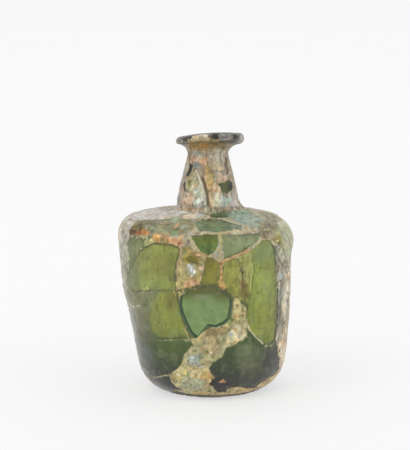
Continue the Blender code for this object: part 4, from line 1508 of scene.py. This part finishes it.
    def shell(self) -> Shell:
        """Lay the points of all rings out in a row and join them.

        Returns:
            The shell, from the middle of the underside to the middle of the floor inside.
        """
        columns = self.bearings()
        outer, inner = self.outer_rows(), self.inner_rows()
        below = (0.0, 0.0, self.form.kick, self.base_run, 0.0, 0.0, -1.0)
        floor = (0.0, 0.0, self.form.floor_middle, self.floor_run, 1.0, 0.0, 1.0)
        parts, starts, levels, count = [np.array([below])], [], [], 1
        for rows in (*outer, inner):
            around = columns[:: 2**rows.level]
            side = np.full(len(rows.radius), float(rows is inner))
            for values in zip(rows.radius, rows.height, rows.run, side, *rows.normals()):
                starts.append(count)
                levels.append(rows.level)
                count += len(around)
                parts.append(np.c_[around, np.tile(values, (len(around), 1))])
        values = np.vstack([*parts, np.array([floor])]).T.copy()
        return Shell(*values, self.faces(columns, starts, levels, count))

    def paint(self, shell: Shell, painter: Painter) -> Surface:
        """Colour the shell and raise its crust.

        Args:
            shell: the points.
            painter: lays the colours and the relief.

        Returns:
            The tint, the crust and the lift of every point.
        """
        place = self.form.settle(shell.radius, shell.height, shell.bearing)
        whole = Surface(shell.bearing, shell.run, shell.radius, place)
        skin, within = shell.side == 0.0, shell.side == 1.0
        surface = Surface(shell.bearing[skin], shell.run[skin], shell.radius[skin], place[skin])
        painter.paint(surface)
        whole.lift[skin] = surface.lift * ease((surface.run - 1.0) / 3.0)
        whole.crust[skin] = surface.crust
        whole.tint[skin] = surface.tint
        cloud = grain(place[within], 9.0, 17, 3)[:, None]
        whole.tint[within] = linear(self.inner_colour) * (0.85 + 0.3 * cloud)
        return whole

    def cut_gap(self, shell: Shell) -> np.ndarray:
        """Find the faces in the gap, and draw the points at its edge onto its outline.

        Args:
            shell: the points, moved where they lie at the edge.

        Returns:
            True for each face that is gone.
        """
        widest, mid_bearing = shell.most(np.abs(shell.bearing)), shell.mean(shell.bearing)
        mid_height, mid_side = shell.mean(shell.height), shell.mean(shell.side)
        in_band = (widest < self.gap_side) & (mid_height > self.gap_low) & (mid_height < self.gap_high)
        gone = np.zeros(len(shell.faces), bool)
        for side, inset in ((0.0, 0.0), (1.0, self.break_slope)):
            line = self.gap_line(inset)
            pick = np.flatnonzero(in_band & (mid_side == side))
            gone[pick[self.inside_gap(mid_bearing[pick], mid_height[pick], line)]] = True
            edge = np.flatnonzero(shell.touched(gone) & shell.touched(~gone) & (shell.side == side))
            spot = self.snap(shell.bearing[edge], shell.height[edge], line)
            shell.bearing[edge], shell.height[edge] = spot.T
            wall = through(self.form.wall, shell.height[edge])
            shell.radius[edge] = wall - (self.form.wall_thickness if side else 0.0)
        return gone

    def build(self, painter: Painter, materials: dict[Finish, bpy.types.Material]) -> bpy.types.Object:
        """Make the bottle.

        Args:
            painter: lays the colours and the relief.
            materials: one for each finish.

        Returns:
            The bottle object.
        """
        shell = self.shell()
        surface = self.paint(shell, painter)
        mid_side, mid_crust = shell.mean(shell.side), shell.mean(surface.crust)
        gone = self.cut_gap(shell)
        radius, height = shell.radius + shell.out * surface.lift, shell.height + shell.up * surface.lift
        place = self.form.settle(radius, height, shell.bearing)
        kept = np.flatnonzero(~gone)
        used = shell.touched(~gone)
        renumber = (np.cumsum(used) - 1).tolist()
        mesh = bpy.data.meshes.new("bottle_glass")
        faces = [[renumber[corner] for corner in shell.faces[index]] for index in kept]
        mesh.from_pydata((place[used] * MM).tolist(), [], faces)
        outer_finish = np.where(mid_crust[kept] > 0.5, Finish.CRUST.value, Finish.GLASS.value)
        finish = np.where(mid_side[kept] > 0.5, Finish.INSIDE.value, outer_finish)
        mesh.polygons.foreach_set("material_index", finish.astype(np.int32))
        layer = mesh.color_attributes.new("tint", "FLOAT_COLOR", "POINT")
        colours = np.c_[np.clip(surface.tint[used], 0.0, 1.0), np.ones(used.sum())]
        layer.data.foreach_set("color", colours.ravel())
        self.close_break(mesh)
        bottle = bpy.data.objects.new("mended_bottle", mesh)
        bpy.context.scene.collection.objects.link(bottle)
        for kind in Finish:
            mesh.materials.append(materials[kind])
        return bottle

    def faces(
        self, columns: np.ndarray, starts: list[int], levels: list[int], last: int,
    ) -> list[tuple[int, ...]]:
        """Join the rings, halving or doubling the columns where the level changes.

        Args:
            columns: bearings of the finest ring.
            starts: first point of each ring.
            levels: how often each ring's columns are halved.
            last: the point in the middle of the floor.

        Returns:
            Corner numbers of every face.
        """
        total = len(columns)
        faces: list[tuple[int, ...]] = []
        count = total >> levels[0]
        faces += [(0, starts[0] + (k + 1) % count, starts[0] + k) for k in range(count)]
        for (low, low_level), (high, high_level) in zip(zip(starts, levels), zip(starts[1:], levels[1:])):
            if low_level == high_level:
                count = total >> low_level
                for k in range(count):
                    after = (k + 1) % count
                    faces.append((low + k, low + after, high + after, high + k))
                continue
            coarse, fine = (low, high) if low_level > high_level else (high, low)
            count = total >> max(low_level, high_level)
            for k in range(count):
                after = (k + 1) % count
                a, b, c = fine + 2 * k, fine + 2 * k + 1, fine + (2 * k + 2) % (2 * count)
                d, e = coarse + k, coarse + after
                if fine == low:
                    faces += [(a, b, d), (b, c, e), (b, e, d)]
                else:
                    faces += [(d, b, a), (d, e, b), (e, c, b)]
        count = total >> levels[-1]
        faces += [(starts[-1] + k, starts[-1] + (k + 1) % count, last) for k in range(count)]
        return faces

    def loops(self, shape: bmesh.types.BMesh) -> list[list[bmesh.types.BMVert]]:
        """Walk the open edges.

        Args:
            shape: the shell, open at the gap.

        Returns:
            The points of each open loop, in order.
        """
        open_edges = {edge for edge in shape.edges if edge.is_boundary}
        found = []
        while open_edges:
            edge = open_edges.pop()
            start, here = edge.verts
            loop = [start, here]
            while True:
                ahead = next((e for e in here.link_edges if e in open_edges), None)
                if ahead is None:
                    break
                open_edges.discard(ahead)
                here = ahead.other_vert(here)
                loop.append(here)
            found.append(loop[:-1] if loop[-1] is loop[0] else loop)
        return sorted(found, key=len, reverse=True)

    def turn_of(
        self, loop: list[bmesh.types.BMVert], middle: Vector,
    ) -> tuple[list[bmesh.types.BMVert], np.ndarray]:
        """Order a loop clockwise from its top and measure how far round each point lies.

        Args:
            loop: the points.
            middle: the middle of the gap.

        Returns:
            The points and their turns, rising from 0 to 1.
        """
        angle = np.array([math.atan2(v.co.x - middle.x, v.co.z - middle.z) for v in loop])
        steps = (np.diff(np.r_[angle, angle[0]]) + math.pi) % math.tau - math.pi
        if steps.sum() < 0.0:
            loop = loop[::-1]
            angle = angle[::-1]
        start = int(np.argmin(np.abs(angle)))
        loop = loop[start:] + loop[:start]
        angle = np.unwrap(np.r_[angle[start:], angle[:start]])
        return loop, np.maximum.accumulate(angle - angle[0]) / math.tau

    def close_break(self, mesh: bpy.types.Mesh) -> None:
        """Join the outer and inner edges of the gap by a rough broken face.

        Args:
            mesh: the shell, open at the gap.
        """
        shape = bmesh.new()
        shape.from_mesh(mesh)
        tint = shape.verts.layers.float_color["tint"]
        rims = self.loops(shape)[:2]
        rims.sort(key=lambda loop: sum(vert.co.y for vert in loop) / len(loop))
        middle = sum((vert.co for vert in rims[0]), Vector()) / len(rims[0])
        (outer, outer_turn), (inner, inner_turn) = (self.turn_of(loop, middle) for loop in rims)
        made, a, b = [], 0, 0
        while a < len(outer) or b < len(inner):
            next_a = outer_turn[a + 1] if a + 1 < len(outer) else 1.0 + (a >= len(outer))
            next_b = inner_turn[b + 1] if b + 1 < len(inner) else 1.0 + (b >= len(inner))
            here = (outer[a % len(outer)], inner[b % len(inner)])
            if b >= len(inner) or (a < len(outer) and next_a <= next_b):
                a += 1
                corners = (here[0], outer[a % len(outer)], here[1])
            else:
                b += 1
                corners = (here[0], inner[b % len(inner)], here[1])
            made.append(shape.faces.new(corners))
        sides = {frozenset(pair) for loop in (outer, inner) for pair in zip(loop, loop[1:] + loop[:1])}
        cross = {edge for face in made for edge in face.edges if frozenset(edge.verts) not in sides}
        split = bmesh.ops.subdivide_edges(shape, edges=list(cross), cuts=2)
        between = [item for item in split["geom_inner"] if isinstance(item, bmesh.types.BMVert)]
        places = np.array([vert.co[:] for vert in between]) / MM
        shake = np.c_[grain(places, 1.3, 41, 2), grain(places, 1.3, 43, 2), grain(places, 1.3, 47, 2)] - 0.5
        shade = linear(self.break_colour)
        ring = set(between)
        for vert, move in zip(between, shake):
            vert.co += Vector(move * 0.3 * MM)
            vert[tint] = (*(shade * (0.8 + 0.4 * move[0])), 1.0)
        for face in shape.faces:
            if any(vert in ring for vert in face.verts):
                face.material_index = Finish.BREAK.value
            face.smooth = True
        bmesh.ops.recalc_face_normals(shape, faces=shape.faces)
        broken = sum(1 for face in shape.faces if face.material_index == Finish.BREAK.value)
        left = sum(1 for edge in shape.edges if not edge.is_manifold)
        log.info("gap closed with %d faces, %d open edges left", broken, left)
        shape.to_mesh(mesh)
        shape.free()


class Value:
    """A number or colour socket that takes part in Python expressions."""

    def __init__(self, shader: "Shader", socket: bpy.types.NodeSocket) -> None:
        self.shader = shader
        self.socket = socket

    def _math(self, operation: str, first: object, second: object) -> "Value":
        return self.shader.node("ShaderNodeMath", {"operation": operation}, {0: first, 1: second})

    def __add__(self, other: object) -> "Value":
        return self._math("ADD", self, other)

    def __mul__(self, other: object) -> "Value":
        return self._math("MULTIPLY", self, other)

    def between(self, low: float, high: float) -> "Value":
        """Stretch low..high to 0..1 and hold the rest."""
        inputs = {0: self, 1: low, 2: high, 3: 0.0, 4: 1.0}
        return self.shader.node("ShaderNodeMapRange", {"clamp": True}, inputs)


class Shader:
    """Builds one material."""

    def __init__(self, name: str) -> None:
        self.material = bpy.data.materials.new(name)
        self.material.use_nodes = True
        self.tree = self.material.node_tree
        self.surface = self.tree.nodes["Principled BSDF"]

    def node(
        self, kind: str, settings: dict[str, object], inputs: dict[int | str, object], output: int | str = 0,
    ) -> Value:
        """Add any node.

        Args:
            kind: the node's type.
            settings: attributes, set first.
            inputs: values or links of its sockets.
            output: which socket is returned.

        Returns:
            The output socket.
        """
        made = self.tree.nodes.new(kind)
        for key, value in settings.items():
            setattr(made, key, value)
        for key, value in inputs.items():
            self.put(made.inputs[key], value)
        return Value(self, made.outputs[output])

    def put(self, socket: bpy.types.NodeSocket, value: object) -> None:
        """Set a socket to a constant or link it.

        Args:
            socket: the input.
            value: a Value to link or a constant.
        """
        if isinstance(value, Value):
            self.tree.links.new(value.socket, socket)
        else:
            socket.default_value = value

    def noise(self, scale: float, detail: float, stretch: Triple = (1.0, 1.0, 1.0)) -> Value:
        """Noise fixed to the object.

        Args:
            scale: lumps per metre.
            detail: finer layers.
            stretch: scale along each axis.

        Returns:
            A value about 0.5.
        """
        where = self.node("ShaderNodeTexCoord", {}, {}, "Object")
        where = self.node("ShaderNodeMapping", {}, {0: where, "Scale": stretch})
        values = {"Vector": where, "Scale": scale, "Detail": detail, "Roughness": 0.6}
        return self.node("ShaderNodeTexNoise", {}, values)

    def mix(self, share: object, first: object, second: object, blend: str = "MIX") -> Value:
        """Mix two colours, with this share of the second."""
        settings = {"data_type": "RGBA", "blend_type": blend}
        return self.node("ShaderNodeMix", settings, {0: share, 6: first, 7: second}, 2)

    def tint(self) -> Value:
        """The painted colour of the skin."""
        return self.node("ShaderNodeVertexColor", {"layer_name": "tint"}, {}, 0)

    def bump(self, height: Value, strength: float, distance: float) -> None:
        """Feed a bump into the surface, its distance in metres."""
        made = self.node("ShaderNodeBump", {}, {"Strength": strength, "Distance": distance, "Height": height})
        self.put(self.surface.inputs["Normal"], made)

    def finish(self, **values: object) -> bpy.types.Material:
        """Set the surface's sockets.

        Args:
            **values: socket names with underscores for spaces.

        Returns:
            The material.
        """
        for key, value in values.items():
            self.put(self.surface.inputs[key.replace("_", " ")], value)
        return self.material


@dataclass(frozen=True)
class Finishes:
    """How each finish takes light."""

    glass_roughness: float = 0.22
    glass_through: float = 0.8
    inside_through: float = 0.9
    sheen: tuple[float, float, float, float] = (0.86, 1.0, 1.16, 1.0)

    def glass(self) -> bpy.types.Material:
        """Frosted green glass.

        Returns:
            The material.
        """
        shader = Shader("weathered_green_glass")
        cloud = shader.noise(260.0, 3.0, (1.0, 1.0, 0.5)).between(0.3, 0.7) * 0.3 + 0.85
        dust = shader.noise(1250.0, 3.0).between(0.28, 0.72) * 0.4 + 0.8
        shade = cloud * dust
        grey = shader.node("ShaderNodeCombineColor", {}, {0: shade, 1: shade, 2: shade * 0.98})
        fine = shader.mix(1.0, shader.tint(), grey, "MULTIPLY")
        shader.bump(shader.noise(260.0, 3.0), 0.25, 0.0006)
        return shader.finish(
            Base_Color=fine, Roughness=self.glass_roughness, Transmission_Weight=self.glass_through, IOR=1.5,
        )

    def crust(self) -> bpy.types.Material:
        """Flaky crust, faintly iridescent.

        Returns:
            The material.
        """
        shader = Shader("iridescent_crust")
        rough = shader.noise(700.0, 2.0).between(0.3, 0.7) * 0.35 + 0.3
        shade = shader.noise(1500.0, 3.0).between(0.25, 0.75) * 0.5 + 0.75
        grey = shader.node("ShaderNodeCombineColor", {}, {0: shade, 1: shade, 2: shade})
        colour = shader.mix(1.0, shader.tint(), grey, "MULTIPLY")
        sheen = shader.noise(900.0, 2.0).between(0.5, 0.72) * 0.35
        colour = shader.mix(sheen, colour, shader.mix(1.0, colour, self.sheen, "MULTIPLY"))
        shader.bump(shader.noise(1500.0, 4.0), 0.5, 0.0006)
        return shader.finish(
            Base_Color=colour, Roughness=rough, Coat_Weight=0.05, Coat_Roughness=0.3, Specular_IOR_Level=0.3,
        )

    def broken(self) -> bpy.types.Material:
        """The broken edge of the glass."""
        shader = Shader("broken_glass_edge")
        shader.bump(shader.noise(900.0, 3.0), 0.3, 0.0005)
        return shader.finish(Base_Color=(*linear((84, 104, 84)), 1.0), Roughness=0.3)

    def inside(self) -> bpy.types.Material:
        """The cleaner inner face."""
        shader = Shader("inner_glass")
        return shader.finish(
            Base_Color=shader.tint(), Roughness=0.35, Transmission_Weight=self.inside_through, IOR=1.5,
        )

    def all(self) -> dict[Finish, bpy.types.Material]:
        """Make every material, by finish."""
        return {
            Finish.GLASS: self.glass(), Finish.CRUST: self.crust(),
            Finish.BREAK: self.broken(), Finish.INSIDE: self.inside(),
        }


@dataclass(frozen=True)
class Studio:
    """Pale sweep and soft light."""

    sweep_width: float = 6.0
    paper: float = 0.32
    glow: float = 0.585
    room: float = 0.945
    lamps: tuple[tuple[str, float, float, Triple], ...] = (
        ("key", 14.0, 1.6, (-1.6, -1.5, 2.2)), ("fill", 6.0, 1.6, (1.9, -1.2, 1.5)),
    )
    lamp_aim: Triple = (0.0, 0.0, 0.05)

    def build(self) -> None:
        """Make the sweep, the lights and the world."""
        bpy.ops.object.select_all(action="DESELECT")
        bpy.ops.mesh.primitive_plane_add(size=1.0, location=(0.0, 0.0, 0.0))
        floor = bpy.context.object
        floor.name = "studio_floor"
        floor.scale = (self.sweep_width, self.sweep_width, 1.0)
        bpy.ops.object.transform_apply(location=False, rotation=False, scale=True)
        shader = Shader("pale_paper")
        white = (1.0, 1.0, 1.0, 1.0)
        plain = (self.paper, self.paper, self.paper, 1.0)
        paper = shader.finish(
            Base_Color=plain, Roughness=0.9, Emission_Color=white, Emission_Strength=self.glow,
        )
        floor.data.materials.append(paper)
        world = bpy.data.worlds.new("soft_room")
        world.use_nodes = True
        background = world.node_tree.nodes["Background"]
        background.inputs["Color"].default_value = white
        background.inputs["Strength"].default_value = self.room
        bpy.context.scene.world = world
        for name, energy, size, place in self.lamps:
            data = bpy.data.lights.new(name, "AREA")
            data.energy = energy
            data.size = size
            lamp = bpy.data.objects.new(name, data)
            bpy.context.scene.collection.objects.link(lamp)
            lamp.location = place
            lamp.rotation_euler = (Vector(self.lamp_aim) - Vector(place)).to_track_quat("-Z", "Y").to_euler()


def main() -> None:
    """Build the bottle and its studio."""
    logging.basicConfig(level=logging.INFO, format="%(name)s: %(message)s")
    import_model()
    bpy.context.scene.view_settings.view_transform = "Standard"
    picture = Picture()
    picture.add_camera()
    vessel = Vessel(BottleForm(), picture)
    bottle = vessel.build(Painter(vessel.skin), Finishes().all())
    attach(bottle, "root")
    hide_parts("bottle")
    log.info("%s: %d faces", bottle.name, len(bottle.data.polygons))
    Studio().build()


if __name__ == "__main__":
    main()
